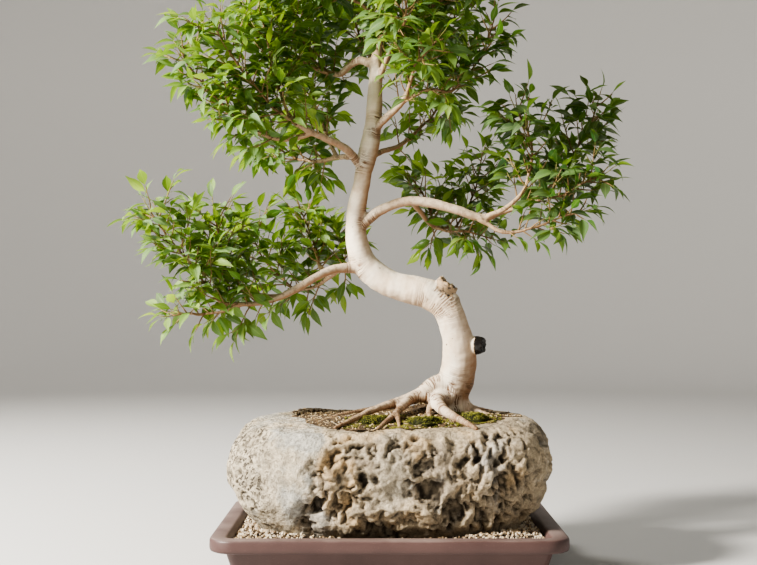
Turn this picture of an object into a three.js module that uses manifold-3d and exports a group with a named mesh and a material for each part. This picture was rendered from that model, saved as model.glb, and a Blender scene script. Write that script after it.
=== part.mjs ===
import * as THREE from "three";
import { mergeVertices } from "three/addons/utils/BufferGeometryUtils.js";
import Module from "manifold-3d";

// A pale-barked bonsai whose roots grip the top of a rough rock, the rock bedded in gravel in a
// shallow clay tray. Millimetres, +Z up. The origin is the middle of the tray's flat underside,
// +X is to the right along the tray's long side and -Y is the front.

const wasm = await Module();
wasm.setup();

// Driving dimensions
const GAP = 0.4; // clearance between two pieces that touch
const TRAY = { length: 380, width: 285, height: 50, corner: 28, floor: 8, lip: 14, rim: 17 };
const DRAIN = { radius: 8, x: 90 };
const ROCK = {
  x: 3, length: 362, width: 236, bottom: 34, top: 169, squareness: 3.2, frontDrop: 5, rightLift: 3,
};
const POCKET = { x: 15, y: -8, halfLength: 126, halfWidth: 81, depth: 17 };
const MOUND = { x: 50, y: 22, size: 32, height: 11 };
const LEAF = { length: 35, width: 12, thickness: 1.6, droop: 0.24 };
const TWIG = { start: 1.7, end: 1.1, side: 1.1, spacing: 38, straight: 7, step: 60 };

// Routes of the wood, each point [x, y, z, radius]
const TRUNK = [
  [70, 22, 156, 29], [71, 22, 174, 27], [72, 20, 189, 22.5], [79, 16, 209, 21], [82, 8, 236, 19.5],
  [77, 2, 264, 17], [67, 0, 290, 17], [49, 2, 305, 17.2], [25, 6, 312, 17], [2, 10, 319, 15.8],
  [-17, 12, 331, 15.6], [-30, 12, 344, 15], [-35, 10, 359, 13.4], [-38, 8, 380, 11.8],
  [-37, 5, 402, 11.2], [-32, 0, 430, 10.2], [-27, -2, 456, 10.4], [-21, 0, 482, 10.8],
  [-17, 4, 517, 9.6], [-15, 10, 552, 8.4], [-14, 14, 580, 6.6], [-12, 18, 605, 5.2],
  [-9, 24, 632, 4], [-4, 28, 666, 2.9], [-6, 26, 699, 1.8],
];
const CUT_STUBS = {
  high: [[58, 0, 302, 14.5], [63, 0, 311, 13], [69, -1, 320, 11.5]],
  low: [[80, 8, 246, 14], [94, 2, 247, 9.6], [103, -2, 247.5, 10.8], [110, -5, 247.5, 8.5]],
};
const BRANCHES = {
  low_left: [
    [-19, 12, 337, 8.5], [-38, 10, 337, 7.2], [-63, 1, 335, 5.4], [-83, -8, 326, 4.9],
    [-108, -13, 311, 4.5], [-135, -16, 299, 3.5], [-158, -20, 295, 2.9], [-182, -26, 296, 2],
  ],
  low_left_inner: [
    [-108, -14, 310, 3.6], [-127, -6, 304, 3.3], [-146, 2, 305, 2.9], [-164, 6, 309, 2.5],
    [-181, 10, 316, 1.9],
  ],
  low_left_under: [[-164, -21, 295, 2.4], [-186, -25, 287, 2], [-208, -31, 284, 1.7]],
  low_left_rise: [[-62, 0, 335, 4.2], [-73, 24, 334, 3.4], [-82, 52, 341, 2.9], [-86, 76, 356, 1.9]],
  low_left_behind: [[-56, 4, 336, 3.8], [-71, 28, 326, 3], [-88, 54, 316, 2.5], [-107, 78, 312, 1.9]],
  low_left_back: [[-46, 8, 336, 4], [-50, 30, 335, 3], [-52, 54, 338, 2.5], [-54, 76, 346, 1.8]],
  right: [
    [-35, 6, 384, 8.5], [-24, 4, 393, 6.8], [-8, -1, 404, 6], [20, -9, 413, 5.8],
    [47, -12, 411, 5.9], [80, -14, 402, 5.4], [105, -12, 394, 4.7], [121, -10, 396, 3.8],
  ],
  right_upper: [[110, -12, 394, 4], [131, -16, 403, 3.2], [144, -19, 413, 2.8], [154, -21, 425, 2.4],
    [160, -23, 446, 1.9]],
  right_outer: [[116, -9, 395, 3.8], [133, -2, 402, 3], [153, 8, 411, 2.7], [172, 16, 419, 2.3],
    [190, 20, 434, 1.9]],
  right_middle: [[128, -4, 400, 3], [143, -6, 404, 2.8], [157, -12, 409, 2.3], [172, -20, 414, 1.9]],
  right_under: [[98, -13, 396, 4], [114, -14, 386, 3], [127, -17, 378, 2.6], [144, -20, 377, 2.3],
    [164, -24, 382, 1.8]],
  right_behind: [[27, -8, 412, 4], [37, 16, 403, 3.2], [47, 44, 393, 2.8], [60, 70, 387, 2.5],
    [79, 94, 390, 1.9]],
  right_behind_low: [[56, 63, 389, 2.6], [69, 56, 383, 2.1], [86, 46, 382, 1.8]],
  right_behind_left: [[56, 60, 389, 2.7], [55, 74, 393, 2.3], [52, 88, 408, 1.8]],
  mid_left: [
    [-27, -2, 448, 7], [-36, -6, 459, 5.6], [-50, -17, 473, 4.8], [-73, -30, 483, 4.2],
    [-98, -39, 494, 3.4], [-122, -47, 509, 2],
  ],
  mid_left_long: [[-85, -34, 488, 3.2], [-105, -33, 482, 2.7], [-126, -34, 481, 2.5],
    [-146, -36, 488, 2.2], [-165, -38, 500, 1.9]],
  mid_left_rise: [[-104, -41, 498, 2.8], [-113, -36, 510, 2.4], [-119, -30, 523, 2.1],
    [-124, -26, 538, 1.8]],
  mid_left_behind: [[-40, -9, 464, 4], [-59, 18, 467, 3.2], [-83, 50, 466, 2.6], [-105, 78, 471, 1.9]],
  mid_left_back_rise: [[-60, 20, 467, 3], [-71, 46, 490, 2.4], [-79, 70, 514, 1.9]],
  high_left: [
    [-15, 12, 573, 6.2], [-32, 20, 581, 4.9], [-45, 33, 578, 4.6], [-58, 48, 570, 3.9],
    [-77, 62, 578, 2.8], [-92, 70, 592, 1.9],
  ],
  high_left_outer: [[-66, 55, 571, 3.1], [-89, 48, 577, 2.4], [-108, 40, 588, 1.9]],
  mid_right: [
    [-20, 0, 485, 6.2], [-12, -5, 500, 5], [4, -18, 514, 4.3], [16, -28, 525, 3.7],
    [23, -38, 541, 2.6], [28, -54, 557, 1.8],
  ],
  mid_right_out: [[13, -26, 523, 3.2], [29, -31, 531, 2.6], [47, -32, 538, 2.2], [61, -31, 536, 1.8]],
  back_right: [[-24, 2, 462, 5], [-10, 20, 473, 3.6], [14, 50, 485, 3], [46, 76, 516, 1.9]],
  high_right: [[-14, 10, 548, 5], [-8, 4, 564, 3.8], [-1, -6, 580, 3.3], [6, -16, 594, 2.7],
    [13, -26, 609, 1.9]],
  front_high: [[-12, 18, 600, 4], [-6, -12, 605, 3], [4, -46, 605, 2.5], [14, -76, 601, 1.9]],
  back_high: [[-15, 12, 562, 4.6], [-17, 44, 582, 3.1], [-24, 74, 602, 2.5], [-32, 98, 620, 1.9]],
  back_high_right: [[-13, 18, 576, 4], [5, 54, 591, 3], [32, 88, 608, 2.4], [45, 102, 618, 1.9]],
  crown_left: [[-9, 24, 628, 3.6], [-26, 14, 641, 2.8], [-45, 4, 651, 2.2], [-58, -2, 656, 1.8]],
  crown_left_back: [[-7, 26, 642, 3.2], [-26, 38, 664, 2.4], [-51, 54, 685, 1.8]],
  crown_right: [[-5, 28, 659, 2.8], [9, 24, 677, 2.2], [28, 18, 687, 1.8]],
  crown_front: [[-5, 27, 669, 2.5], [-9, -6, 674, 2.1], [-14, -42, 675, 1.8]],
  crown_back: [[-4, 28, 678, 2.4], [2, 52, 704, 2], [7, 70, 721, 1.7]],
};
const ROOTS = {
  left_long: [[70, 14, 200, 17], [52, 8, 200, 11.5], [36, 0, 191, 8.2], [20, -10, 186, 6.2],
    [-2, -30, 181, 5], [-23, -48, 175, 4], [-43, -68, 167, 3.1], [-60, -88, 161, 2]],
  left_middle: [[67, 10, 179, 13], [42, 0, 189, 8], [27, -6, 188, 6.6], [17, -24, 181, 5.2],
    [7, -46, 173, 3.8], [-5, -70, 165, 2.9], [-14, -92, 159, 2]],
  left_toe: [[9, -40, 176, 3.2], [10, -58, 168, 2.8], [11, -79, 161, 2]],
  front: [[72, 14, 184, 16], [56, -8, 185, 9], [61, -28, 176, 6.6], [70, -46, 171, 5.2],
    [82, -66, 166, 3.9], [95, -88, 160, 2.4]],
  front_small: [[64, 6, 182, 9], [50, -10, 181, 4.2], [45, -24, 174, 3.2], [46, -38, 168, 2.2]],
  right: [[80, 22, 176, 13], [91, 20, 175, 7.5], [102, 14, 170, 5], [114, 4, 167, 3.4],
    [127, -10, 164, 2.1]],
  left_back: [[68, 26, 180, 12], [42, 32, 184, 6.5], [9, 28, 177, 4.6], [-28, 18, 171, 3.4],
    [-58, -6, 167, 2.8], [-82, -48, 162, 2]],
  back_left: [[72, 30, 178, 12], [62, 56, 178, 6], [49, 80, 171, 3.5], [32, 98, 165, 2]],
  back_right: [[79, 30, 176, 12], [92, 54, 173, 6], [109, 74, 168, 3.5], [130, 86, 164, 2]],
};

// Leafy sprays: each goes on from the end of the branch of its name, through these points, and
// carries side twigs up to reach long.
const SPRAYS = {
  low_left: { reach: 62, route: [[-204, -38, 315], [-224, -52, 344], [-246, -62, 372], [-262, -66, 396]] },
  low_left_inner: { reach: 62, route: [[-191, 10, 337], [-195, 4, 366], [-200, -4, 396]] },
  low_left_under: { reach: 44, route: [[-223, -40, 285], [-240, -52, 282]] },
  low_left_rise: { reach: 52, route: [[-96, 88, 384], [-108, 94, 412]] },
  low_left_behind: { reach: 60, route: [[-130, 94, 327], [-153, 100, 350], [-170, 96, 386]] },
  low_left_back: { reach: 48, route: [[-57, 94, 360], [-60, 104, 384]] },
  right_upper: { reach: 56, route: [[162, -30, 473], [153, -40, 495], [142, -46, 513]] },
  right_outer: { reach: 56, route: [[209, 26, 459], [226, 20, 486], [238, 10, 512], [242, 4, 527]] },
  right_middle: { reach: 54, route: [[194, -30, 417], [217, -42, 430], [236, -48, 438]] },
  right_under: { reach: 46, route: [[182, -32, 388], [198, -40, 394], [215, -46, 398]] },
  right_behind: { reach: 60, route: [[97, 104, 412], [109, 106, 439], [114, 102, 466]] },
  right_behind_low: { reach: 42, route: [[101, 36, 379], [122, 30, 372]] },
  right_behind_left: { reach: 54, route: [[45, 106, 429], [28, 112, 455]] },
  mid_left: { reach: 64, route: [[-145, -58, 533], [-164, -66, 555], [-179, -70, 579], [-193, -70, 600]] },
  mid_left_long: { reach: 58, route: [[-187, -42, 520], [-205, -44, 538], [-223, -42, 561],
    [-234, -38, 578]] },
  mid_left_rise: { reach: 60, route: [[-132, -20, 562], [-138, -14, 591], [-144, -10, 617]] },
  mid_left_behind: { reach: 54, route: [[-128, 98, 483], [-154, 108, 497]] },
  mid_left_back_rise: { reach: 58, route: [[-89, 90, 537], [-101, 98, 560]] },
  high_left: { reach: 62, route: [[-104, 84, 614], [-113, 92, 643], [-123, 92, 668]] },
  high_left_outer: { reach: 60, route: [[-126, 30, 603], [-148, 20, 624], [-167, 14, 644]] },
  mid_right: { reach: 54, route: [[38, -76, 567], [52, -96, 580]] },
  mid_right_out: { reach: 58, route: [[80, -36, 543], [96, -42, 562], [110, -46, 589], [118, -44, 614]] },
  back_right: { reach: 52, route: [[64, 86, 541], [74, 90, 566]] },
  high_right: { reach: 62, route: [[40, -40, 624], [66, -48, 638], [93, -50, 644]] },
  front_high: { reach: 56, route: [[18, -102, 615], [12, -118, 632]] },
  back_high: { reach: 60, route: [[-40, 116, 647], [-45, 124, 674]] },
  back_high_right: { reach: 60, route: [[62, 112, 633], [86, 114, 655]] },
  crown_left: { reach: 64, route: [[-77, -10, 661], [-106, -22, 674], [-133, -28, 681]] },
  crown_left_back: { reach: 60, route: [[-73, 66, 700], [-95, 80, 717]] },
  crown_right: { reach: 62, route: [[48, 14, 696], [76, 8, 704]] },
  crown_front: { reach: 58, route: [[-19, -66, 680], [-25, -82, 692]] },
  crown_back: { reach: 54, route: [[12, 86, 729], [20, 98, 737]] },
  trunk: { reach: 50, route: [[-10, 22, 718], [-15, 16, 732]] },
};

// Finishes
const BARK = new THREE.MeshStandardMaterial({ color: 0xd9c6a4, roughness: 0.75 });
const GREEN = new THREE.MeshStandardMaterial({ color: 0x4f8a2c, roughness: 0.45 });
const STONE = new THREE.MeshStandardMaterial({ color: 0x9a8f80, roughness: 0.95 });
const CLAY = new THREE.MeshStandardMaterial({ color: 0x6e4b48, roughness: 0.7 });
const GRIT = new THREE.MeshStandardMaterial({ color: 0xb49a74, roughness: 0.95 });
const EARTH = new THREE.MeshStandardMaterial({ color: 0x4a3827, roughness: 1 });
const MOSS = new THREE.MeshStandardMaterial({ color: 0x7a8a2e, roughness: 1 });

const UP = new THREE.Vector3(0, 0, 1);
const vec = ([x, y, z]) => new THREE.Vector3(x, y, z);
const lerp = THREE.MathUtils.lerp;

// A closed skin over rings of points. A ring turns anticlockwise about the way the rings run, and
// each end is closed flat, or drawn to a point where the last ring is a single point.
function skin(rings) {
  const points = rings.flat();
  const starts = [];
  rings.reduce((count, ring) => (starts.push(count), count + ring.length), 0);
  const faces = [];
  for (let i = 1; i < rings.length; i++) {
    const [low, high] = [rings[i - 1].length, rings[i].length];
    for (let k = 0; k < Math.max(low, high); k++) {
      const [a, b] = [starts[i - 1] + (k % low), starts[i - 1] + ((k + 1) % low)];
      const [c, d] = [starts[i] + (k % high), starts[i] + ((k + 1) % high)];
      if (low > 1) faces.push(a, b, d);
      if (high > 1) faces.push(a, d, c);
    }
  }
  const last = starts[rings.length - 1];
  for (let k = 1; k < rings[0].length - 1; k++) faces.push(0, k + 1, k);
  for (let k = 1; k < rings.at(-1).length - 1; k++) faces.push(last, last + k, last + k + 1);
  return new THREE.BufferGeometry().setFromPoints(points).setIndex(faces);
}

// A closed geometry as a solid that can be joined and cut, and a solid as a geometry again.
function solid(geometry) {
  const merged = mergeVertices(geometry, 1e-4);
  const vertProperties = new Float32Array(merged.attributes.position.array);
  const triVerts = new Uint32Array(merged.index.array);
  return new wasm.Manifold(new wasm.Mesh({ numProp: 3, vertProperties, triVerts }));
}

function geometryOf(made) {
  const mesh = made.getMesh();
  const geometry = new THREE.BufferGeometry();
  geometry.setAttribute("position", new THREE.BufferAttribute(mesh.vertProperties, 3));
  geometry.setIndex(new THREE.BufferAttribute(mesh.triVerts, 1));
  geometry.computeVertexNormals();
  return geometry;
}

const join = (solids) => wasm.Manifold.union(solids);
const largest = (made) => made.decompose().sort((a, b) => b.volume() - a.volume())[0];

// Seeded draws between 0 and 1.
function draws(seed) {
  let state = seed;
  return () => {
    state = (state + 0x6d2b79f5) | 0;
    let t = Math.imul(state ^ (state >>> 15), 1 | state);
    t = (t + Math.imul(t ^ (t >>> 7), 61 | t)) ^ t;
    return ((t ^ (t >>> 14)) >>> 0) / 2 ** 32;
  };
}

// Smooth noise between -1 and 1 with lumps of the given size.
function noise(x, y, z, size) {
  const cell = [x, y, z].map((v) => Math.floor(v / size));
  const part = [x, y, z].map((v, i) => THREE.MathUtils.smoothstep(v / size - cell[i], 0, 1));
  const corner = (i, j, k) => {
    const [a, b, c] = [cell[0] + i, cell[1] + j, cell[2] + k];
    let h = Math.imul(a, 73856093) ^ Math.imul(b, 19349663) ^ Math.imul(c, 83492791);
    h = Math.imul(h ^ (h >>> 13), 1274126177);
    return (((h ^ (h >>> 16)) >>> 0) / 2 ** 32) * 2 - 1;
  };
  const edge = (j, k) => lerp(corner(0, j, k), corner(1, j, k), part[0]);
  const face = (k) => lerp(edge(0, k), edge(1, k), part[1]);
  return lerp(face(0), face(1), part[2]);
}

// The tray: a rounded rectangle that steps in from a foot, flares out under a thick lip and
// drops inside the rim to a flat floor with two drain holes.
function roundedRectangle(inset, z) {
  const radius = Math.max(TRAY.corner - inset, 10);
  const [halfLength, halfWidth] = [TRAY.length / 2 - inset, TRAY.width / 2 - inset];
  const points = [];
  for (const [sx, sy, turn] of [[1, -1, -0.5], [1, 1, 0], [-1, 1, 0.5], [-1, -1, 1]]) {
    for (let k = 0; k <= 3; k++) {
      const angle = (turn + k / 6) * Math.PI;
      points.push(new THREE.Vector3(
        sx * (halfLength - radius) + radius * Math.cos(angle),
        sy * (halfWidth - radius) + radius * Math.sin(angle),
        z,
      ));
    }
  }
  return points;
}

const INNER_WALL = { top: TRAY.rim + 2, bottom: TRAY.rim + 20 };
const wallInset = (z) => lerp(
  INNER_WALL.bottom, INNER_WALL.top, (z - TRAY.floor) / (TRAY.height - 2 - TRAY.floor),
);

function tray() {
  const [foot, wall, underLip] = [TRAY.rim + 16, TRAY.rim + 8, TRAY.rim];
  const profile = [
    [foot, 0], [foot, 5], [wall, 6], [underLip, TRAY.height - TRAY.lip - 3],
    [2, TRAY.height - TRAY.lip], [0, TRAY.height - TRAY.lip + 3], [0, TRAY.height - 2],
    [2, TRAY.height], [TRAY.rim, TRAY.height], [INNER_WALL.top, TRAY.height - 2],
    [INNER_WALL.bottom, TRAY.floor],
  ];
  let made = solid(skin(profile.map(([inset, z]) => roundedRectangle(inset, z))));
  for (const x of [-DRAIN.x, DRAIN.x]) {
    const hole = new THREE.CylinderGeometry(DRAIN.radius, DRAIN.radius, 3 * TRAY.floor, 10);
    hole.deleteAttribute("normal").deleteAttribute("uv").rotateX(Math.PI / 2).translate(x, 0, 0);
    made = made.subtract(solid(hole));
  }
  return made;
}

// The rock: a flat-topped boulder, squarish in plan, bulging at half its height. Flat cleavage
// faces cut its corners, hollows and lumps mark it, and its top has a pocket for the roots.
const ROCK_PROFILE = [
  [168, 0.3], [167, 0.56], [165.5, 0.76], [162, 0.87], [152, 0.935], [136, 0.975], [116, 1],
  [96, 1], [76, 0.965], [58, 0.9], [ROCK.bottom, 0.76],
];
const CLEAVAGES = [
  { normal: [-0.62, -0.78, 0.08], reach: 160 },
  { normal: [0.03, -0.99, 0.05], reach: 121 },
  { normal: [0.7, -0.7, -0.06], reach: 168 },
  { normal: [-0.55, 0.83, 0.1], reach: 158 },
  { normal: [0.5, 0.86, -0.05], reach: 156 },
  { normal: [0.97, 0.05, -0.22], reach: 172 },
];
const HOLLOWS = [
  { at: [-71, -116, 80], size: 15, depth: 11 }, { at: [48, -118, 98], size: 17, depth: 10 },
  { at: [20, -118, 72], size: 13, depth: 8 }, { at: [-20, -118, 120], size: 16, depth: 5 },
  { at: [110, -104, 84], size: 18, depth: 8 }, { at: [-160, -50, 60], size: 14, depth: 4 },
  { at: [172, 20, 84], size: 20, depth: 9 }, { at: [-90, 112, 96], size: 20, depth: 9 },
  { at: [60, 116, 110], size: 18, depth: 8 }, { at: [-178, 30, 120], size: 17, depth: 7 },
  { at: [-92, 44, 168], size: 26, depth: -6 }, { at: [-166, -20, 50], size: 22, depth: -6 },
  { at: [187, -26, 138], size: 26, depth: 9 }, { at: [160, -25, 163], size: 20, depth: -8 },
];
const FACETS_AROUND = 30;

// The top falls towards the front, and its right end stands up squarely.
const fall = (y) => ROCK.frontDrop * THREE.MathUtils.smoothstep(-y, 10, 100);
const lift = (x) => ROCK.rightLift * THREE.MathUtils.smoothstep(x, 110, 160);

function rockPoint(angle, z, scale) {
  const power = 2 / ROCK.squareness;
  const bend = (v) => Math.sign(v) * Math.abs(v) ** power;
  const p = new THREE.Vector3(
    ROCK.x + (ROCK.length / 2) * scale * bend(Math.cos(angle)),
    (ROCK.width / 2) * scale * bend(Math.sin(angle)),
    z,
  );
  for (const { normal, reach } of CLEAVAGES) {
    const n = vec(normal).normalize();
    const over = p.x * n.x + p.y * n.y + (z - 105) * n.z - reach * Math.min(scale + 0.02, 1);
    if (over > 0) p.addScaledVector(n, -0.85 * over);
  }
  const out = new THREE.Vector3(p.x, p.y, (z - 100) * 1.5).normalize();
  for (const { at, size, depth } of HOLLOWS) {
    p.addScaledVector(out, -depth * Math.exp(-((p.distanceTo(vec(at)) / size) ** 2)));
  }
  const rough = z > 160 ? 0.3 : z < 60 ? 0.5 : 1;
  const bump = 6 * noise(p.x, p.y, p.z, 62) + 5 * noise(p.x + 500, p.y, p.z, 25);
  const high = THREE.MathUtils.smoothstep(z, 120, 160);
  p.z += high * (lift(p.x) - fall(p.y));
  return p.addScaledVector(out, bump * rough);
}

function boulder() {
  const rings = ROCK_PROFILE.map(([z, scale]) => {
    const ring = [];
    for (let k = 0; k < FACETS_AROUND; k++) {
      ring.push(rockPoint((-2 * Math.PI * k) / FACETS_AROUND, z, scale));
    }
    return ring;
  });
  for (const p of rings.at(-1)) p.z = ROCK.bottom;
  return solid(skin([[new THREE.Vector3(0, 0, ROCK.top)], ...rings]));
}

// The pocket of earth in the rock's top, mounded round the trunk's foot, and the cutter that makes
// room for it.
const POCKET_PROFILE = [[0.62, -POCKET.depth], [0.9, -0.5 * POCKET.depth], [1, -2]];

function pocketRing(scale, z, grow, relief = 0) {
  const ring = [];
  for (let k = 0; k < 16; k++) {
    const angle = (Math.PI * k) / 8;
    const wave = 1 + 0.07 * Math.sin(3 * angle + 1) + 0.04 * Math.sin(5 * angle);
    const x = POCKET.x + (POCKET.halfLength * scale * wave + grow) * Math.cos(angle);
    const y = POCKET.y + (POCKET.halfWidth * scale * wave + grow) * Math.sin(angle);
    ring.push(new THREE.Vector3(x, y, z - fall(y) + relief * noise(x, y, 0, 14)));
  }
  return ring;
}

const EDGE_Z = 166;
const mound = (x, y) =>
  MOUND.height * Math.exp(-(((x - MOUND.x) ** 2 + (y - MOUND.y) ** 2) / MOUND.size ** 2));

function pocketCutter() {
  const walls = POCKET_PROFILE.map(([scale, dz]) => pocketRing(scale, EDGE_Z + dz - GAP, GAP));
  return solid(skin([...walls, pocketRing(1.02, EDGE_Z + 30, GAP)]));
}

function earth(lift = 0) {
  const walls = POCKET_PROFILE.map(([scale, dz]) => pocketRing(scale, EDGE_Z + dz, 0));
  const top = [[0.82, 1], [0.5, 2.8]].map(([scale, dz]) =>
    pocketRing(scale, EDGE_Z + dz, 0, 1.2).map((p) => p.setZ(p.z + mound(p.x, p.y))),
  );
  const middle = [new THREE.Vector3(POCKET.x, POCKET.y, EDGE_Z + 4 + mound(POCKET.x, POCKET.y))];
  return solid(skin([...walls, ...top, middle]).translate(0, 0, lift));
}

// A moss pad: a low bumpy cushion on the earth.
const MOSS_PADS = {
  left: { x: -16, y: -56, length: 42, width: 34, turn: 0.5 },
  front: { x: 38, y: -62, length: 46, width: 36, turn: -0.1 },
  right: { x: 95, y: -36, length: 34, width: 42, turn: 0.2 },
  back: { x: 70, y: 42, length: 44, width: 22, turn: 0 },
};
const MOSS_RISE = 4.5;
const MOSS_SIDES = 9;

function mossPad({ x, y, length, width, turn }) {
  const ground = EDGE_Z - fall(y) + mound(x, y);
  const rings = [[1, ground - 6], [1, ground + 2], [0.6, ground + 3 + MOSS_RISE]];
  const outline = rings.map(([scale, z]) => {
    const ring = [];
    for (let k = 0; k < MOSS_SIDES; k++) {
      const angle = (2 * Math.PI * k) / MOSS_SIDES;
      const wave = 1 + 0.12 * Math.sin(3 * angle + x) + 0.07 * Math.sin(7 * angle);
      const px = (length / 2) * scale * wave * Math.cos(angle);
      const py = (width / 2) * scale * wave * Math.sin(angle);
      const [c, s] = [Math.cos(turn), Math.sin(turn)];
      ring.push(new THREE.Vector3(x + c * px - s * py, y + s * px + c * py, z + noise(px, py, z, 6)));
    }
    return ring;
  });
  return solid(skin(outline));
}

// Gravel: it fills the tray between its walls and the rock, mounded a little against the rock.
function gravel() {
  const surface = [[9, 46.5], [24, 49], [46, 50.5]].map(([inset, z]) =>
    roundedRectangle(INNER_WALL.top + inset, z).map((p) => p.setZ(z + 1.3 * noise(p.x, p.y, z, 7))),
  );
  const walls = [TRAY.floor + GAP, 44].map((z) => roundedRectangle(wallInset(z) + GAP, z));
  return solid(skin([...walls, ...surface, [new THREE.Vector3(0, 0, 50)]]));
}

// A round limb of wood along a route, with flat ends, grown outwards all over by a clearance
// where it is used as a cutter.
function limb(route, sides, step, grow = 0) {
  const curve = new THREE.CatmullRomCurve3(route.map(vec), false, "centripetal");
  const spans = route.length - 1;
  const stations = [0];
  for (let i = 0; i < spans; i++) {
    const pieces = Math.max(1, Math.round(vec(route[i]).distanceTo(vec(route[i + 1])) / step));
    for (let k = 1; k <= pieces; k++) stations.push(i + k / pieces);
  }
  let across = new THREE.Vector3(0.3, 1, 0.2);
  const rings = stations.map((at) => {
    const ahead = curve.getTangent(at / spans);
    across = across.addScaledVector(ahead, -across.dot(ahead)).normalize();
    const side = ahead.clone().cross(across);
    const span = Math.min(Math.floor(at), spans - 1);
    const radius = lerp(route[span][3], route[span + 1][3], at - span) + grow;
    const centre = curve.getPoint(at / spans);
    if (at === 0) centre.addScaledVector(ahead, -grow);
    if (at === spans) centre.addScaledVector(ahead, grow);
    const ring = [];
    for (let k = 0; k < sides; k++) {
      const angle = (2 * Math.PI * k) / sides;
      ring.push(centre.clone()
        .addScaledVector(across, radius * Math.cos(angle))
        .addScaledVector(side, radius * Math.sin(angle)));
    }
    return ring;
  });
  return solid(skin(rings));
}

// The wood: trunk, cut stubs, branches and roots grown together as one body. Each kind of limb has
// its number of sides and the longest step along it.
const TRUNK_SKIN = [10, 24];
const STUB_SKIN = [8, 12];
const ROOT_SKIN = [5, 26];
const branchSkin = (route) => [route[0][3] > 5 ? 6 : 4, 34];

const rootLimbs = (grow) => [
  limb(TRUNK.slice(0, 5), ...TRUNK_SKIN, grow),
  ...Object.values(ROOTS).map((route) => limb(route, ...ROOT_SKIN, grow)),
];

function wood() {
  const branches = Object.values(BRANCHES).map((route) => limb(route, ...branchSkin(route)));
  const stubs = Object.values(CUT_STUBS).map((route) => limb(route, ...STUB_SKIN));
  const roots = Object.values(ROOTS).map((route) => limb(route, ...ROOT_SKIN));
  return join([limb(TRUNK, ...TRUNK_SKIN), ...stubs, ...branches, ...roots]);
}

// A leaf: a lance-shaped blade on its own short stalk, with a keel under its midrib, arching down
// to a drawn-out tip. Each station is [way along, half width, thickness] as shares of the full ones.
const LEAF_STATIONS = [[0.28, 0.8, 1], [0.58, 0.92, 1]];

function leaf(root, along, upward, length) {
  const side = along.clone().cross(upward).normalize();
  const face = side.clone().cross(along).normalize();
  const middle = (share) => root.clone()
    .addScaledVector(along, length * share)
    .addScaledVector(UP, -LEAF.droop * length * share * share);
  const rings = LEAF_STATIONS.map(([share, breadth, depth]) => {
    const half = (LEAF.width / 2) * breadth * (length / LEAF.length);
    return [
      middle(share).addScaledVector(side, half),
      middle(share).addScaledVector(face, -LEAF.thickness * depth),
      middle(share).addScaledVector(side, -half),
    ];
  });
  return solid(skin([[middle(0)], ...rings, [middle(1)]]));
}

// Two solids cross where their boxes meet and their common part has volume.
function crosses(a, b) {
  const [p, q] = [a.boundingBox(), b.boundingBox()];
  for (let i = 0; i < 3; i++) if (p.min[i] > q.max[i] || q.min[i] > p.max[i]) return false;
  return a.intersect(b).volume() > 0;
}

// A spray: a leading twig from the branch's end, side twigs in a spiral round it, and leaves in
// two ranks along each twig with one at its tip. What would cross another piece is turned, and is
// left out if no turn clears it. Shares are of the twig's length, and a hand of 0 points ahead.
const TRIES = 10;
const FIRST_SEED = 101;
const SIDE_TWIG = {
  firstShare: 0.12, span: 0.8, spiral: 2.4, retry: 0.5,
  ahead: 0.5, outward: 0.8, rise: 0.12,
  shortest: 0.55, longest: 0.9, shrink: 0.3, taper: 0.7,
};
const SIDE_LEAVES = [
  { share: 0.42, hand: 1, sizes: [0.85, 1.05] },
  { share: 0.72, hand: -1, sizes: [0.85, 1.05] },
  { share: 0.97, hand: 0, sizes: [0.85, 1.1] },
];
const TIP_LEAVES = [
  { share: 0.99, hand: 0, sizes: [0.9, 1.1] },
  { share: 0.8, hand: 1, sizes: [0.8, 1] },
  { share: 0.6, hand: -1, sizes: [0.8, 1] },
];
const LEAF_WAY = { ahead: 0.5, outward: 0.8, level: 0.6, hang: 0.5, spread: 0.3, roll: 0.9, retry: 0.14 };

function leadingTwig(branch, route) {
  const end = vec(branch.at(-1));
  const lead = end.clone().sub(vec(branch.at(-2))).normalize();
  const start = end.clone().addScaledVector(lead, GAP);
  const points = [start, end.clone().addScaledVector(lead, TWIG.straight), ...route.map(vec)];
  const radiusAt = (i) => lerp(TWIG.start, TWIG.end, i / (points.length - 1));
  return {
    curve: new THREE.CatmullRomCurve3(points, false, "centripetal"),
    leader: limb(points.map((p, i) => [...p, radiusAt(i)]), 3, TWIG.step),
  };
}

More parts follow.
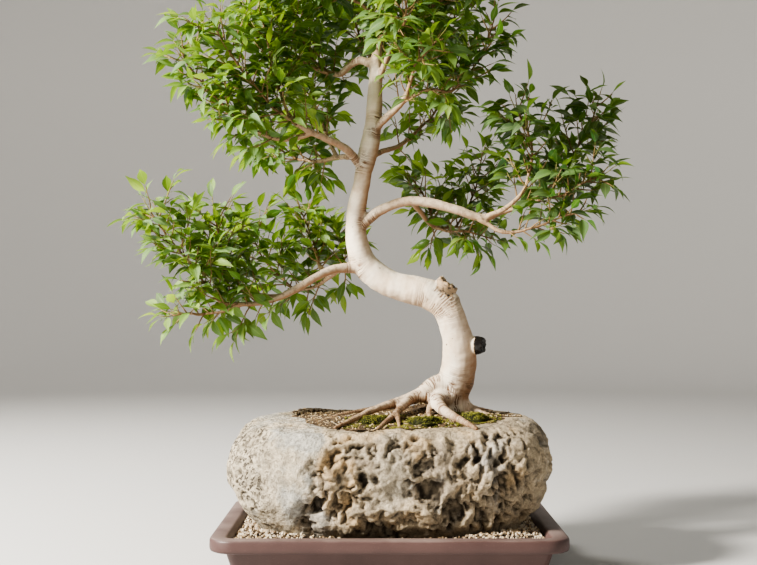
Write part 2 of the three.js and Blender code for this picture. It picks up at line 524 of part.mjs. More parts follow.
function spray({ curve, leader, reach, seed }, others) {
  const draw = draws(seed);
  const clear = (made, own) => ![...others, ...own].some((other) => crosses(made, other));
  const twigs = [leader];
  const leaves = [];

  const turned = (direction, spread) => direction.clone().add(new THREE.Vector3(
    spread * (draw() - 0.5), spread * (draw() - 0.5), spread * (draw() - 0.5),
  )).normalize();

  const addLeaf = (from, twigWay, { hand, sizes }) => {
    const length = LEAF.length * lerp(...sizes, draw());
    const along = twigWay.clone().multiplyScalar(hand ? LEAF_WAY.ahead : 1)
      .addScaledVector(twigWay.clone().cross(UP).normalize(), hand * LEAF_WAY.outward);
    along.setZ(LEAF_WAY.level * along.z - LEAF_WAY.hang).normalize();
    for (let i = 0; i < TRIES; i++) {
      const way = turned(along, LEAF_WAY.spread + LEAF_WAY.retry * i);
      const root = from.clone().addScaledVector(way, -0.4 * TWIG.side);
      const made = leaf(root, way, turned(UP, LEAF_WAY.roll), length);
      if (clear(made, leaves)) {
        leaves.push(made);
        return;
      }
    }
  };

  const count = Math.max(2, Math.round(curve.getLength() / TWIG.spacing));
  let turn = 2 * Math.PI * draw();
  for (let i = 0; i < count; i++) {
    const share = SIDE_TWIG.firstShare + (SIDE_TWIG.span * (i + 0.4 * draw())) / count;
    const [at, ahead] = [curve.getPointAt(share), curve.getTangentAt(share)];
    const flat = ahead.clone().cross(UP).normalize();
    turn += SIDE_TWIG.spiral;
    for (let k = 0; k < TRIES; k++) {
      const way = ahead.clone().multiplyScalar(SIDE_TWIG.ahead)
        .addScaledVector(flat.clone().applyAxisAngle(ahead, turn + SIDE_TWIG.retry * k), SIDE_TWIG.outward)
        .addScaledVector(UP, SIDE_TWIG.rise).normalize();
      const part = lerp(SIDE_TWIG.shortest, SIDE_TWIG.longest, draw()) * (1 - SIDE_TWIG.shrink * share);
      const tip = at.clone().addScaledVector(way, reach * part);
      const twig = limb([[...at, TWIG.side], [...tip, SIDE_TWIG.taper * TWIG.side]], 3, reach);
      if (clear(twig, leaves)) {
        twigs.push(twig);
        for (const place of SIDE_LEAVES) addLeaf(at.clone().lerp(tip, place.share), way, place);
        break;
      }
    }
  }
  for (const place of TIP_LEAVES) addLeaf(curve.getPointAt(place.share), curve.getTangentAt(1), place);
  return largest(join([...twigs, ...leaves]));
}

// The whole object
const bonsai = new THREE.Group();

function add(name, made, material) {
  const mesh = new THREE.Mesh(geometryOf(made), material);
  mesh.name = name;
  bonsai.add(mesh);
}

const grip = join(rootLimbs(GAP));
const boulderSolid = boulder();
const rockRoom = solid(geometryOf(boulderSolid).clone().deleteAttribute("normal")
  .translate(0, 0, -100).scale(1.006, 1.008, 1.012).translate(0, 0, 100));
const earthRoom = earth(GAP);

add("tray", tray(), CLAY);
add("gravel", largest(gravel().subtract(rockRoom)), GRIT);
add("rock", largest(boulderSolid.subtract(pocketCutter()).subtract(grip)), STONE);
add("earth", largest(earth().subtract(grip)), EARTH);
for (const [name, pad] of Object.entries(MOSS_PADS)) {
  add("moss_" + name, largest(mossPad(pad).subtract(earthRoom).subtract(grip)), MOSS);
}
const tree = wood();
add("tree", tree, BARK);
const plans = Object.entries(SPRAYS).map(([name, { route, reach }], i) => {
  const branch = name === "trunk" ? TRUNK : BRANCHES[name];
  return { name, reach, seed: FIRST_SEED + i, ...leadingTwig(branch, route) };
});
const sprays = [];
for (const plan of plans) {
  const ahead = plans.slice(sprays.length + 1).map(({ leader }) => leader);
  const made = spray(plan, [tree, ...sprays, ...ahead]);
  sprays.push(made);
  add("spray_" + (plan.name === "trunk" ? "apex" : plan.name), made, GREEN);
}

export default bonsai;
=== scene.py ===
# A pale-barked bonsai on a rough rock, the rock bedded in gravel in a shallow clay tray.
# Blender 4.5, metres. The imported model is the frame, and every finished piece goes where it says.

import math

import bmesh
import bpy
import numpy as np
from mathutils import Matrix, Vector, kdtree, noise
from mathutils.bvhtree import BVHTree


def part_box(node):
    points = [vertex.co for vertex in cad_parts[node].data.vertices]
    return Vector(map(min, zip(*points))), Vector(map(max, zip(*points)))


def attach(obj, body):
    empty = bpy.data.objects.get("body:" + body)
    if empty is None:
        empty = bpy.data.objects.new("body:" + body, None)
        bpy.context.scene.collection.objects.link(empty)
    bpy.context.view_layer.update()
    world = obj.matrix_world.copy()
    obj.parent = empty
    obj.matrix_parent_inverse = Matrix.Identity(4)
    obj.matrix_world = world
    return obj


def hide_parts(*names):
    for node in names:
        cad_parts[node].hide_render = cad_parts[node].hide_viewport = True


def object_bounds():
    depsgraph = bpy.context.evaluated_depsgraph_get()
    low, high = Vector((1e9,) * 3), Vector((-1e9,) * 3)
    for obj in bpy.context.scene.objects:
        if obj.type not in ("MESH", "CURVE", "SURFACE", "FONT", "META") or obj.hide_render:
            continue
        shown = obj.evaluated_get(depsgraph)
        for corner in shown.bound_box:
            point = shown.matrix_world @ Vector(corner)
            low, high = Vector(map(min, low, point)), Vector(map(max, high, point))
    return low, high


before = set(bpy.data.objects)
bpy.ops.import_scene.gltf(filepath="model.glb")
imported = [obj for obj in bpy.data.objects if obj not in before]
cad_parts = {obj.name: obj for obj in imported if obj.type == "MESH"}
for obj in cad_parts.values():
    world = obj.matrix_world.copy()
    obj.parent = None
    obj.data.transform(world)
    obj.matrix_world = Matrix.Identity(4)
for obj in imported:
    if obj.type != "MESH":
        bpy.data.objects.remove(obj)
cad_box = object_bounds()
MM = 0.001

# The camera stands 1.4 m in front of the tray at about the height of the trunk's knee and looks
# almost level, a little up, through a portrait lens.
CAMERA_PLACE = (-11.6 * MM, -1417.5 * MM, 293 * MM)
CAMERA_RISE = 1.09
camera = bpy.data.objects.new("camera", bpy.data.cameras.new("camera"))
camera.data.sensor_width = 36
camera.data.lens = 58.47
camera.location = CAMERA_PLACE
camera.rotation_euler = (math.radians(90 + CAMERA_RISE), 0, 0)
bpy.context.scene.collection.objects.link(camera)
bpy.context.scene.camera = camera


# The studio: a round pale floor that curves up into a pale wall on all sides, a soft light high
# on the left, a weaker one on the right and one behind that shines through the leaves.
FLOOR_RADIUS = 4.2
BEND_RADIUS = 1.3
WALL_HEIGHT = 5.0
MIDDLE = Vector((0, 0, 0.38))


def link_mesh(name, points, faces, smooth=True):
    mesh = bpy.data.meshes.new(name)
    mesh.from_pydata(points, [], faces)
    mesh.update()
    mesh.polygons.foreach_set("use_smooth", [smooth] * len(mesh.polygons))
    made = bpy.data.objects.new(name, mesh)
    bpy.context.scene.collection.objects.link(made)
    return made


def tube_faces(rings, sides, start=0, open_end=False):
    """Faces between rings of points that follow one another, and over the two ends."""
    faces = []
    for i in range(rings - 1):
        for k in range(sides):
            a, b = start + i * sides + k, start + i * sides + (k + 1) % sides
            faces.append((a, b, b + sides, a + sides))
    faces.append(tuple(start + k for k in reversed(range(sides))))
    if not open_end:
        last = start + (rings - 1) * sides
        faces.append(tuple(last + k for k in range(sides)))
    return faces


def loft(name, rings, open_end=False):
    faces = tube_faces(len(rings), len(rings[0]), open_end=open_end)
    return link_mesh(name, [p for ring in rings for p in ring], faces)


def circle(radius, x, z, sides):
    angles = np.arange(sides) * 2 * math.pi / sides
    return [(x + radius * math.cos(a), radius * math.sin(a), z) for a in angles]


def backdrop():
    level = FLOOR_RADIUS - BEND_RADIUS
    profile = [(0.5, 0), (level, 0)]
    for angle in np.linspace(0, math.pi / 2, 13)[1:]:
        profile.append((level + BEND_RADIUS * math.sin(angle), BEND_RADIUS * (1 - math.cos(angle))))
    profile.append((FLOOR_RADIUS, WALL_HEIGHT))
    made = loft("backdrop", [circle(radius, 0, z, 96) for radius, z in profile], open_end=True)
    paper = bpy.data.materials.new("studio paper")
    paper.use_nodes = True
    body = paper.node_tree.nodes["Principled BSDF"]
    body.inputs["Base Color"].default_value = (0.62, 0.615, 0.605, 1)
    body.inputs["Roughness"].default_value = 0.9
    made.data.materials.append(paper)


def soft_light(name, place, size, power, colour):
    lamp = bpy.data.lights.new(name, "AREA")
    lamp.shape = "DISK"
    lamp.size = size
    lamp.energy = power
    lamp.color = colour
    made = bpy.data.objects.new(name, lamp)
    made.location = place
    made.rotation_euler = (MIDDLE - Vector(place)).to_track_quat("-Z", "Y").to_euler()
    made.visible_camera = False
    bpy.context.scene.collection.objects.link(made)


backdrop()
soft_light("key", (-1.85, -0.88, 1.35), 0.36, 195, (1, 0.95, 0.87))
soft_light("fill", (1.3, -1.3, 1.0), 1.2, 1.8, (0.9, 0.95, 1))
soft_light("back", (-1.2, 1.2, 1.7), 0.7, 26, (1, 0.97, 0.9))
world = bpy.data.worlds.new("studio air")
bpy.context.scene.world = world
world.use_nodes = True
world.node_tree.nodes["Background"].inputs["Color"].default_value = (0.9, 0.94, 1, 1)
world.node_tree.nodes["Background"].inputs["Strength"].default_value = 0.06
bpy.context.scene.view_settings.look = "AgX - Medium High Contrast"


# The tray: pressed purple-brown clay, fired without glaze. A thick lip overhangs the wall, the
# foot is a plain low plinth and two drain holes go through the floor.
RIM_CORNER = 28
LEAST_CORNER = 10
CORNER_STEPS = 9
DRAINS_FROM_MIDDLE = 90
DRAIN_RADIUS = 8


def rounded_rectangle(half_length, half_width, radius, z):
    points = []
    for sx, sy, turn in ((1, -1, -0.5), (1, 1, 0), (-1, 1, 0.5), (-1, -1, 1)):
        for k in range(CORNER_STEPS + 1):
            angle = (turn + 0.5 * k / CORNER_STEPS) * math.pi
            x = sx * (half_length - radius) + radius * math.cos(angle)
            y = sy * (half_width - radius) + radius * math.sin(angle)
            points.append((x * MM, y * MM, z * MM))
    return points


def apply_modifiers(made):
    bpy.context.view_layer.update()
    evaluated = made.evaluated_get(bpy.context.evaluated_depsgraph_get())
    old = made.data
    made.data = bpy.data.meshes.new_from_object(evaluated)
    made.modifiers.clear()
    bpy.data.meshes.remove(old)


class Finish:
    """Builds a finish up in steps. Each step gives what a later one takes."""

    def __init__(self, tree):
        self.tree = tree

    def feed(self, made, values):
        for key, value in values.items():
            if isinstance(value, bpy.types.NodeSocket):
                self.tree.links.new(value, made.inputs[key])
            else:
                made.inputs[key].default_value = value

    def add(self, kind, values=None, **settings):
        made = self.tree.nodes.new("ShaderNode" + kind)
        for key, value in settings.items():
            setattr(made, key, value)
        self.feed(made, values or {})
        return made

    def place(self):
        return self.add("TexCoord").outputs["Object"]

    def facing(self):
        """How far the surface faces along X, Y and Z."""
        normal = self.add("NewGeometry").outputs["Normal"]
        return self.add("SeparateXYZ", {"Vector": normal}).outputs

    def stored(self, name):
        return self.add("Attribute", attribute_name=name).outputs["Fac"]

    def noise(self, at, scale, detail=2, rough=0.5):
        values = {"Vector": at, "Scale": scale, "Detail": detail, "Roughness": rough}
        return self.add("TexNoise", values).outputs["Fac"]

    def cells(self, at, scale):
        return self.add("TexVoronoi", {"Vector": at, "Scale": scale}).outputs["Distance"]

    def share(self, value, low, high, first=0, last=1):
        """Goes from first to last as the value goes from low to high."""
        values = {"Value": value, "From Min": low, "From Max": high, "To Min": first, "To Max": last}
        return self.add("MapRange", values).outputs["Result"]

    def reckon(self, operation, *values):
        return self.add("Math", dict(enumerate(values)), operation=operation).outputs[0]

    def mix(self, share, under, over, blend="MIX"):
        if isinstance(over, tuple):
            over = (*over, 1)
        values = {"Factor": share, "A": under, "B": over}
        return self.add("Mix", values, data_type="RGBA", blend_type=blend).outputs["Result"]

    def colours(self, value, stops):
        """A colour that runs through the stops, each a value and its colour."""
        made = self.add("ValToRGB", {"Fac": value})
        elements = made.color_ramp.elements
        for element, (position, colour) in zip(elements, (stops[0], stops[-1])):
            element.position = position
            element.color = (*colour, 1)
        for position, colour in stops[1:-1]:
            elements.new(position).color = (*colour, 1)
        return made.outputs["Color"]

    def surface(self, colour, rough, shine, height, strength, depth, invert=False):
        """The finish itself, with a fine relief whose depth is in metres."""
        values = {"Height": height, "Strength": strength, "Distance": depth}
        relief = self.add("Bump", values, invert=invert).outputs["Normal"]
        body = self.tree.nodes["Principled BSDF"]
        self.feed(body, {"Base Color": colour, "Roughness": rough, "Specular IOR Level": shine,
                         "Normal": relief})
        return body


def new_finish(name):
    material = bpy.data.materials.new(name)
    material.use_nodes = True
    return material, Finish(material.node_tree)


def clay():
    """Purple-brown, smudged, with pale flecks, and dusty where it faces up."""
    material, finish = new_finish("unglazed clay")
    place = finish.place()
    smudge = finish.noise(place, 18, 5)
    sand = finish.noise(place, 900, 3)
    base = finish.colours(smudge, [(0.3, (0.066, 0.034, 0.031)), (0.72, (0.108, 0.059, 0.053))])
    fleck = finish.share(finish.cells(place, 420), 0.16, 0.08, 0, 0.35)
    flecked = finish.mix(fleck, base, (0.25, 0.16, 0.14))
    dusty = finish.reckon("MULTIPLY", finish.facing()["Z"], smudge)
    dust = finish.share(dusty, 0.25, 0.65, 0, 0.6)
    rough = finish.share(sand, 0, 1, 0.38, 0.62)
    finish.surface(finish.mix(dust, flecked, (0.3, 0.235, 0.21)), rough, 0.5, sand, 0.35, 0.0004)
    return material


def tray():
    low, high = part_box("tray")
    half_length, half_width, height = high[0] / MM, high[1] / MM, high[2] / MM
    # inset from the rim's edge and height of each ring, up the outside and down the inside
    profile = [(33.6, 0), (33, 0.6), (33, 4.4), (32, 5.2), (26, 6), (25, 6.8), (17.6, height - 18),
               (16.4, height - 16.8), (3, height - 14.4), (0.9, height - 13.4), (0.2, height - 11.6),
               (0, height - 9), (0.2, height - 2.6), (0.9, height - 0.9), (2.6, height - 0.1),
               (9, height), (15.8, height - 0.1), (17.8, height - 0.8), (19, height - 2.4),
               (36, 10), (37.4, 8.4), (39, 8)]
    rings = []
    for inset, z in profile:
        corner = max(RIM_CORNER - inset, LEAST_CORNER)
        rings.append(rounded_rectangle(half_length - inset, half_width - inset, corner, z))
    made = loft("tray_clay", rings)
    for x in (-DRAINS_FROM_MIDDLE, DRAINS_FROM_MIDDLE):
        hole = loft("drain", [circle(DRAIN_RADIUS * MM, x * MM, z * MM, 32) for z in (-5, 20)])
        cut = made.modifiers.new("drain", "BOOLEAN")
        cut.operation = "DIFFERENCE"
        cut.solver = "EXACT"
        cut.object = hole
        apply_modifiers(made)
        bpy.data.objects.remove(hole)
    made.data.materials.append(clay())
    # all is smooth but the large level faces of the foot and the floor
    for polygon in made.data.polygons:
        polygon.use_smooth = abs(polygon.normal.z) < 0.999 or polygon.area < 2e-3
    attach(made, "root")
    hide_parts("tray")


tray()


# The rock: one weathered boulder, grey and tan, with a pale smoother face on the left and deep
# pits in front. It is the frame's own boulder, cut finer and broken up all over.
ROCK_CUT = 1.92
ROCK_SEED = 5
# hollows broken out of the front: where each is, how wide and how high it is, and its depth
FRONT_HOLLOWS = [
    ((-77, 80), (22, 14), 9), ((-44, 86), (11, 16), 7), ((-30, 105), (17, 13), 8), ((-78, 120), (12, 12), 5),
    ((-37, 140), (8, 8), 4), ((-60, 132), (9, 8), 4), ((-86, 60), (12, 14), 7), ((-20, 57), (9, 7), 5),
    ((44, 96), (16, 15), 9), ((66, 76), (23, 19), 12), ((30, 119), (15, 15), 7), ((92, 141), (7, 20), 7),
    ((105, 146), (7, 17), 7), ((119, 138), (9, 21), 8), ((113, 96), (17, 23), 10), ((104, 66), (20, 16), 9),
    ((76, 120), (9, 17), 6), ((136, 112), (12, 26), 8),
]
# the front's broken patches: where each is, and how wide and how high
BROKEN = [((-55, 108), (44, 54)), ((50, 92), (40, 46)), ((122, 112), (62, 62)), ((-10, 62), (64, 18)),
          ((20, 140), (60, 18))]
# its ochre stains, each with how strong it is, and the paler and the blue-grey patch
OCHRE = [((-62, 130), (28, 24), 1), ((-50, 92), (30, 24), 0.8), ((20, 140), (34, 18), 0.6),
         ((0, 66), (60, 16), 0.6)]
PALE_BAND = ((2, 112), (30, 50))
BLUE_GREY = ((-84, 148), (22, 10))


def remeshed(made, voxel, smooth):
    """Turns a piece into one even skin of small faces, the voxel in millimetres."""
    remesh = made.modifiers.new("remesh", "REMESH")
    remesh.mode = "VOXEL"
    remesh.voxel_size = voxel * MM
    even = made.modifiers.new("smooth", "SMOOTH")
    even.iterations = smooth
    apply_modifiers(made)
    made.data.polygons.foreach_set("use_smooth", [True] * len(made.data.polygons))


def finer_copy(name, source, voxel, smooth):
    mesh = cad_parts[source].data.copy()
    made = bpy.data.objects.new(name, mesh)
    bpy.context.scene.collection.objects.link(made)
    mesh.materials.clear()
    remeshed(made, voxel, smooth)
    return made


def read_points(mesh):
    points = np.empty(len(mesh.vertices) * 3)
    mesh.vertices.foreach_get("co", points)
    normals = np.empty(len(mesh.vertices) * 3)
    mesh.vertices.foreach_get("normal", normals)
    return points.reshape(-1, 3) / MM, normals.reshape(-1, 3)


def write_points(mesh, points):
    mesh.vertices.foreach_set("co", (points * MM).ravel())
    mesh.update()


def fractal(points, size, octaves=3, offset=0.0):
    shift = Vector((offset, offset, offset))
    return np.array([noise.fractal(Vector(p) / size + shift, 0.9, 2.1, octaves) for p in points])


def drift(points, size, octaves, offsets):
    """A fractal of its own for each of X, Y and Z, to bend other noise with."""
    return np.stack([fractal(points, size, octaves, offset) for offset in offsets], -1)


def smooth_step(value, low, high):
    share = np.clip((value - low) / (high - low), 0, 1)
    return share * share * (3 - 2 * share)


def store(mesh, name, values):
    mesh.attributes.new(name, "FLOAT", "POINT").data.foreach_set("value", np.ascontiguousarray(values))


def blocks(points, size, offset):
    """Broken blocks: how far each stands out, tilted each its own way, and the cracks between."""
    shift = Vector((offset, offset, offset))
    height, crack = np.empty(len(points)), np.empty(len(points))
    for i, p in enumerate(points):
        q = Vector(p) / size + shift
        q += 0.3 * noise.noise_vector(q * 1.6)
        distances, middles = noise.voronoi(q)
        middle = middles[0]
        tilt = noise.cell_vector(middle * 3.1) - Vector((0.5, 0.5, 0.5))
        height[i] = noise.cell(middle * 5.3) + 3 * (q - middle).dot(tilt)
        crack[i] = distances[1] - distances[0]
    return height, 1 - smooth_step(crack, 0, 0.2)


def patch(points, middle, half, wander):
    """1 inside an upright oval on the front, 0 outside, with a wandering edge."""
    way = np.hypot((points[:, 0] - middle[0]) / half[0], (points[:, 2] - middle[1]) / half[1])
    return 1 - smooth_step(way + wander, 0.6, 1.08)


def stone():
    """Grey and tan stone, stained and blotched, pricked with dark marks, and darkened in its hollows, cracks
    and along its foot by painted shade with some dirt.
    """
    material, finish = new_finish("weathered stone")
    place = finish.place()
    patches = finish.noise(place, 26, 4, 0.6)
    grains = finish.noise(place, 340, 6, 0.75)
    mottle = finish.noise(place, 95, 5, 0.7)
    base = finish.colours(finish.noise(place, 16, 6, 0.62), [
        (0.3, (0.3, 0.25, 0.19)), (0.42, (0.46, 0.38, 0.27)), (0.52, (0.58, 0.47, 0.32)),
        (0.6, (0.66, 0.54, 0.38)), (0.67, (0.48, 0.44, 0.38)), (0.74, (0.7, 0.59, 0.43))])
    # ochre stains and blue-grey bare patches, each where the tint asks for it
    leaning = finish.reckon("ADD", finish.stored("tint"), patches)
    ochre = finish.share(leaning, 0.58, 0.76, 0, 0.6)
    warm = finish.mix(ochre, base, (0.72, 0.48, 0.23))
    faced = finish.mix(finish.stored("pale"), warm, (0.5, 0.44, 0.335))
    blue = finish.share(leaning, 0.42, 0.26, 0, 0.55)
    cool = finish.mix(blue, faced, (0.42, 0.44, 0.44))
    grainy = finish.share(grains, 0.3, 0.7, 0.7, 1.25)
    blotched = finish.share(mottle, 0.34, 0.66, 0.62, 1.2)
    mottled = finish.mix(1, cool, finish.reckon("MULTIPLY", grainy, blotched), "MULTIPLY")
    # pricks, some nearly round and some of any shape
    bend = finish.add("TexNoise", {"Vector": place, "Scale": 160}).outputs["Color"]
    dot = finish.share(finish.cells(finish.mix(0.006, place, bend, "LINEAR_LIGHT"), 215), 0.44, 0.3)
    mark = finish.share(finish.noise(place, 240, 3, 0.6), 0.595, 0.645)
    dark = finish.reckon("MULTIPLY", finish.reckon("MAXIMUM", dot, mark), finish.stored("pricked"))
    speckled = finish.mix(dark, mottled, (0.08, 0.068, 0.055))
    # painted shade, with some dirt: hollows, creases, cracks, pits and the front of the foot go nearly black
    shaded_and_dirty = finish.mix(finish.stored("hollow"), speckled, (0.05, 0.04, 0.03))
    rough = finish.reckon("ADD", grains, finish.reckon("MULTIPLY", mottle, 2.2))
    finish.surface(shaded_and_dirty, 0.93, 0.25, finish.reckon("SUBTRACT", rough, dark), 0.9, 0.0017)
    return material


def shade_and_dirt_depth(points, height):
    """How far each point lies below the thirty around it, where painted shade and some dirt darken the
    stone.
    """
    around = kdtree.KDTree(len(points))
    for i, p in enumerate(points):
        around.insert(p, i)
    around.balance()
    nearby = np.array([[found[1] for found in around.find_n(p, 30)] for p in points])
    return height[nearby].mean(1) - height


def rock():
    made = finer_copy("rock_stone", "rock", ROCK_CUT, 2)
    points, normals = read_points(made.data)
    x, y, z = points.T
    top = smooth_step(z, 150, 163) * smooth_step(normals[:, 2], 0.3, 0.8)
    front = smooth_step(-normals[:, 1], 0.15, 0.5)
    # the pale left face ends at a ridge that leans to the right as it rises
    ridge = -97 + 0.28 * (z - 55) + 5 * fractal(points, 22, 2, 3.3)
    left = smooth_step(ridge - x, -2, 5) * smooth_step(-normals[:, 0] - normals[:, 1], 0.2, 0.7)
    wander = 0.45 * fractal(points, 19, 3, 2.2) + 0.22 * fractal(points, 6, 2, 8.1)
    broken = np.clip(0.55 + 0.9 * fractal(points, 52, 2, 6.1), 0.15, 1) * (1 - front)
    for middle, half in BROKEN:
        broken = np.maximum(broken, front * patch(points, middle, half, wander))
    broken = np.maximum(broken, 0.22) * (1 - np.maximum(0.75 * top, 0.9 * left)) * smooth_step(z, 36, 50)

    # the broken stone is rounded lumps with creases between them, drawn out upright in the right half
    upright = points * (1, 1, 0.58)
    ribbed = smooth_step(x, 15, 75)
    warp = 2.5 * drift(points, 16, 2, (11.0, 23.0, 37.0))

    def folds(size, narrow, offset):
        even, drawn = fractal(points + warp, size, 2, offset), fractal(upright + warp, narrow, 2, offset)
        return (1 - ribbed) * even + ribbed * drawn

    coarse, fine = folds(21, 16, 1.9), folds(8, 6.4, 5.2)
    large, large_crack = blocks(points, 36, 0.4)
    middling, middling_crack = blocks(points, 15, 3.7)
    lumps = np.minimum(abs(coarse), 0.42)
    knobs = np.minimum(abs(fine), 0.4)
    sunk = np.zeros(len(points))
    bent = points + 9 * drift(points, 20, 3, (51.0, 63.0, 77.0))
    for (cx, cz), (half_width, half_height), depth in FRONT_HOLLOWS:
        inside = 1.15 - np.hypot((bent[:, 0] - cx) / half_width, (bent[:, 2] - cz) / half_height)
        sunk = np.maximum(sunk, depth * front * smooth_step(inside + 0.8 * coarse + 0.4 * fine, 0.2, 0.9))
    height = broken * (2.4 * large + 2.1 * middling - 2.2 * large_crack - 1.4 * middling_crack
                       + 13 * lumps + 4 * knobs - 4.2)
    # two slabs stand up a little on the top's back left
    height += 3 * top * np.exp(-((x + 78) ** 2 + (y - 62) ** 2) / 24 ** 2)
    swell = 1.7 * fractal(points, 30, 2, 4.4) + 0.35 * fractal(points, 9, 2, 7.3)
    height += (1 - 0.5 * top) * swell - sunk
    # the left face is pricked all over with small holes, thickest towards its outer edge
    outer = smooth_step(-x, 118, 148)
    patchy = smooth_step(fractal(points, 25, 2, 1.4), -0.55, 0.1)
    height += left * (0.9 * fractal(points, 15, 3, 8.8) + 0.3 * middling)
    pits = left * (0.1 + 0.9 * outer) * smooth_step(fractal(points, 6, 2, 9.7), 0.2, 0.4)
    height -= 1.5 * pits
    # what stands out is held back, and the foot in the gravel stays as it is
    height = np.where(height > 0, height * 0.6, height) * smooth_step(z, 36, 46)
    write_points(made.data, points + normals * height[:, None])

    # painted shade, with some dirt: darker in low places, hollows, creases, cracks and pits, and a painted
    # shadow along the front of the foot, under the overhang
    foot = smooth_step(-z, -59, -49) * smooth_step(-y, 60, 90) * smooth_step(x, -100, -80)
    creased = np.maximum(1 - smooth_step(lumps, 0.01, 0.1), 0.6 - 0.6 * smooth_step(knobs, 0.01, 0.1))
    crack_and_crease_shade = 0.22 * creased + 0.22 * np.maximum(large_crack, middling_crack)
    shade = (0.5 * smooth_step(shade_and_dirt_depth(points, height), 0.3, 1.8) + 0.52 * smooth_step(sunk, 2, 8)
             + broken * crack_and_crease_shade + 0.45 * pits + 0.6 * foot)
    ochre = front * sum(strength * patch(points, middle, half, wander) for middle, half, strength in OCHRE)
    blue = (0.9 * top * smooth_step(-x, 50, 100) + left * smooth_step(-x, 128, 108)
            + 1.2 * front * patch(points, *BLUE_GREY, wander))
    band = front * patch(points, *PALE_BAND, wander)
    store(made.data, "pricked", 0.25 + 0.75 * left * patchy * (0.08 + 0.92 * outer) + 0.35 * top)
    # hollow carries the painted shade and dirt worked out above
    store(made.data, "hollow", np.clip(shade, 0, 0.95))
    store(made.data, "pale", np.clip(0.85 * left + 0.15 * top + 0.75 * band, 0, 0.92))
    store(made.data, "tint", 0.2 * np.clip(ochre, 0, 1) - 0.2 * np.clip(blue, 0, 1.3))
    made.data.materials.append(stone())
    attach(made, "root")
    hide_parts("rock")
    return made


# without a seed the blocks' noise vectors differ from run to run
noise.seed_set(ROCK_SEED)
boulder = rock()


# The gravel: crushed tan grit, poured round the rock's foot up to the rim and sunk a little along
# the front, where the rock overhangs it and the grit is painted darker as shade. A bed carries one close
# layer of separate grains, and the bed is painted nearly black as the shade between them.
GRAIN_COUNT = 2250
GRAIN_SEED = 11
DOWN = Vector((0, 0, -1))


def tree_of(made):
    return BVHTree.FromObject(made, bpy.context.evaluated_depsgraph_get())


def crushed_shapes(count, corners, rng):
    """Sharp broken grains, each the hull of a few corners."""
    shapes = []
    for _ in range(count):
        shape = bmesh.new()
        for _ in range(corners):
            place = Vector(rng.normal(size=3)).normalized() * rng.uniform(0.8, 1.1)
            shape.verts.new(place)
        hull = bmesh.ops.convex_hull(shape, input=shape.verts)
        bmesh.ops.delete(shape, geom=hull["geom_interior"], context="VERTS")
        shape.verts.index_update()
        bmesh.ops.recalc_face_normals(shape, faces=shape.faces)
        points = np.array([v.co[:] for v in shape.verts])
        faces = np.array([[v.index for v in f.verts] for f in shape.faces])
        shape.free()
        shapes.append((points, faces))
    return shapes


def turns(rng, count):
    """Random rotations, as matrices whose rows are the turned axes."""
    spin = rng.normal(size=(count, 4))
    w, x, y, z = (spin / np.linalg.norm(spin, axis=1)[:, None]).T
    return np.stack([
        np.stack([1 - 2 * (y * y + z * z), 2 * (x * y - z * w), 2 * (x * z + y * w)], -1),
        np.stack([2 * (x * y + z * w), 1 - 2 * (x * x + z * z), 2 * (y * z - x * w)], -1),
        np.stack([2 * (x * z - y * w), 2 * (y * z + x * w), 1 - 2 * (x * x + y * y)], -1)], 1)


def scatter(name, shapes, places, sizes, rng, tones, matrices):
    """Joins a turned and scaled copy of one of the shapes at each place, with a tone for each."""
    all_points, all_faces, all_tones, start = [], [], [], 0
    for i, place in enumerate(places):
        points, faces = shapes[rng.integers(len(shapes))]
        all_points.append((points * sizes[i]) @ matrices[i] + place)
        all_faces.append(faces + start)
        all_tones.append(np.full(len(points), tones[i]))
        start += len(points)
    points = np.concatenate(all_points) * MM
    made = link_mesh(name, points.tolist(), np.concatenate(all_faces).tolist(), smooth=False)
    store(made.data, "tone", np.concatenate(all_tones))
    return made


def grain_group():
    """Fine grain: a piece's stored tone, spread a little by noise, and the noise as relief."""
    group = bpy.data.node_groups.new("fine grain", "ShaderNodeTree")
    group.interface.new_socket("Scale", in_out="INPUT", socket_type="NodeSocketFloat")
    group.interface.new_socket("Tone", in_out="OUTPUT", socket_type="NodeSocketFloat")
    group.interface.new_socket("Relief", in_out="OUTPUT", socket_type="NodeSocketFloat")
    entry, end = group.nodes.new("NodeGroupInput"), group.nodes.new("NodeGroupOutput")
    finish = Finish(group)
    fine = finish.noise(finish.place(), entry.outputs["Scale"], 4)
    spread = finish.share(fine, 0, 1, -0.15, 0.15)
    tone = finish.reckon("ADD", finish.stored("tone"), spread)
    group.links.new(tone, end.inputs["Tone"])
    group.links.new(fine, end.inputs["Relief"])
    return group


GRAIN = grain_group()


def toned(name, colours, rough, scale, depth):
    """A material whose colour runs through the given ones by the fine grain's tone."""
    material, finish = new_finish(name)
    grain = finish.add("Group", {"Scale": scale}, node_tree=GRAIN).outputs
    stops = [(i / (len(colours) - 1), colour) for i, colour in enumerate(colours)]
    finish.surface(finish.colours(grain["Tone"], stops), rough, 0.3, grain["Relief"], 0.6, depth)
    return material


def overhung(x, y):
    """1 along the front, under the rock's overhang, and 0 elsewhere."""
    return smooth_step(-y, 92, 106) * smooth_step(x, -98, -80) * smooth_step(-x, -92, -62)


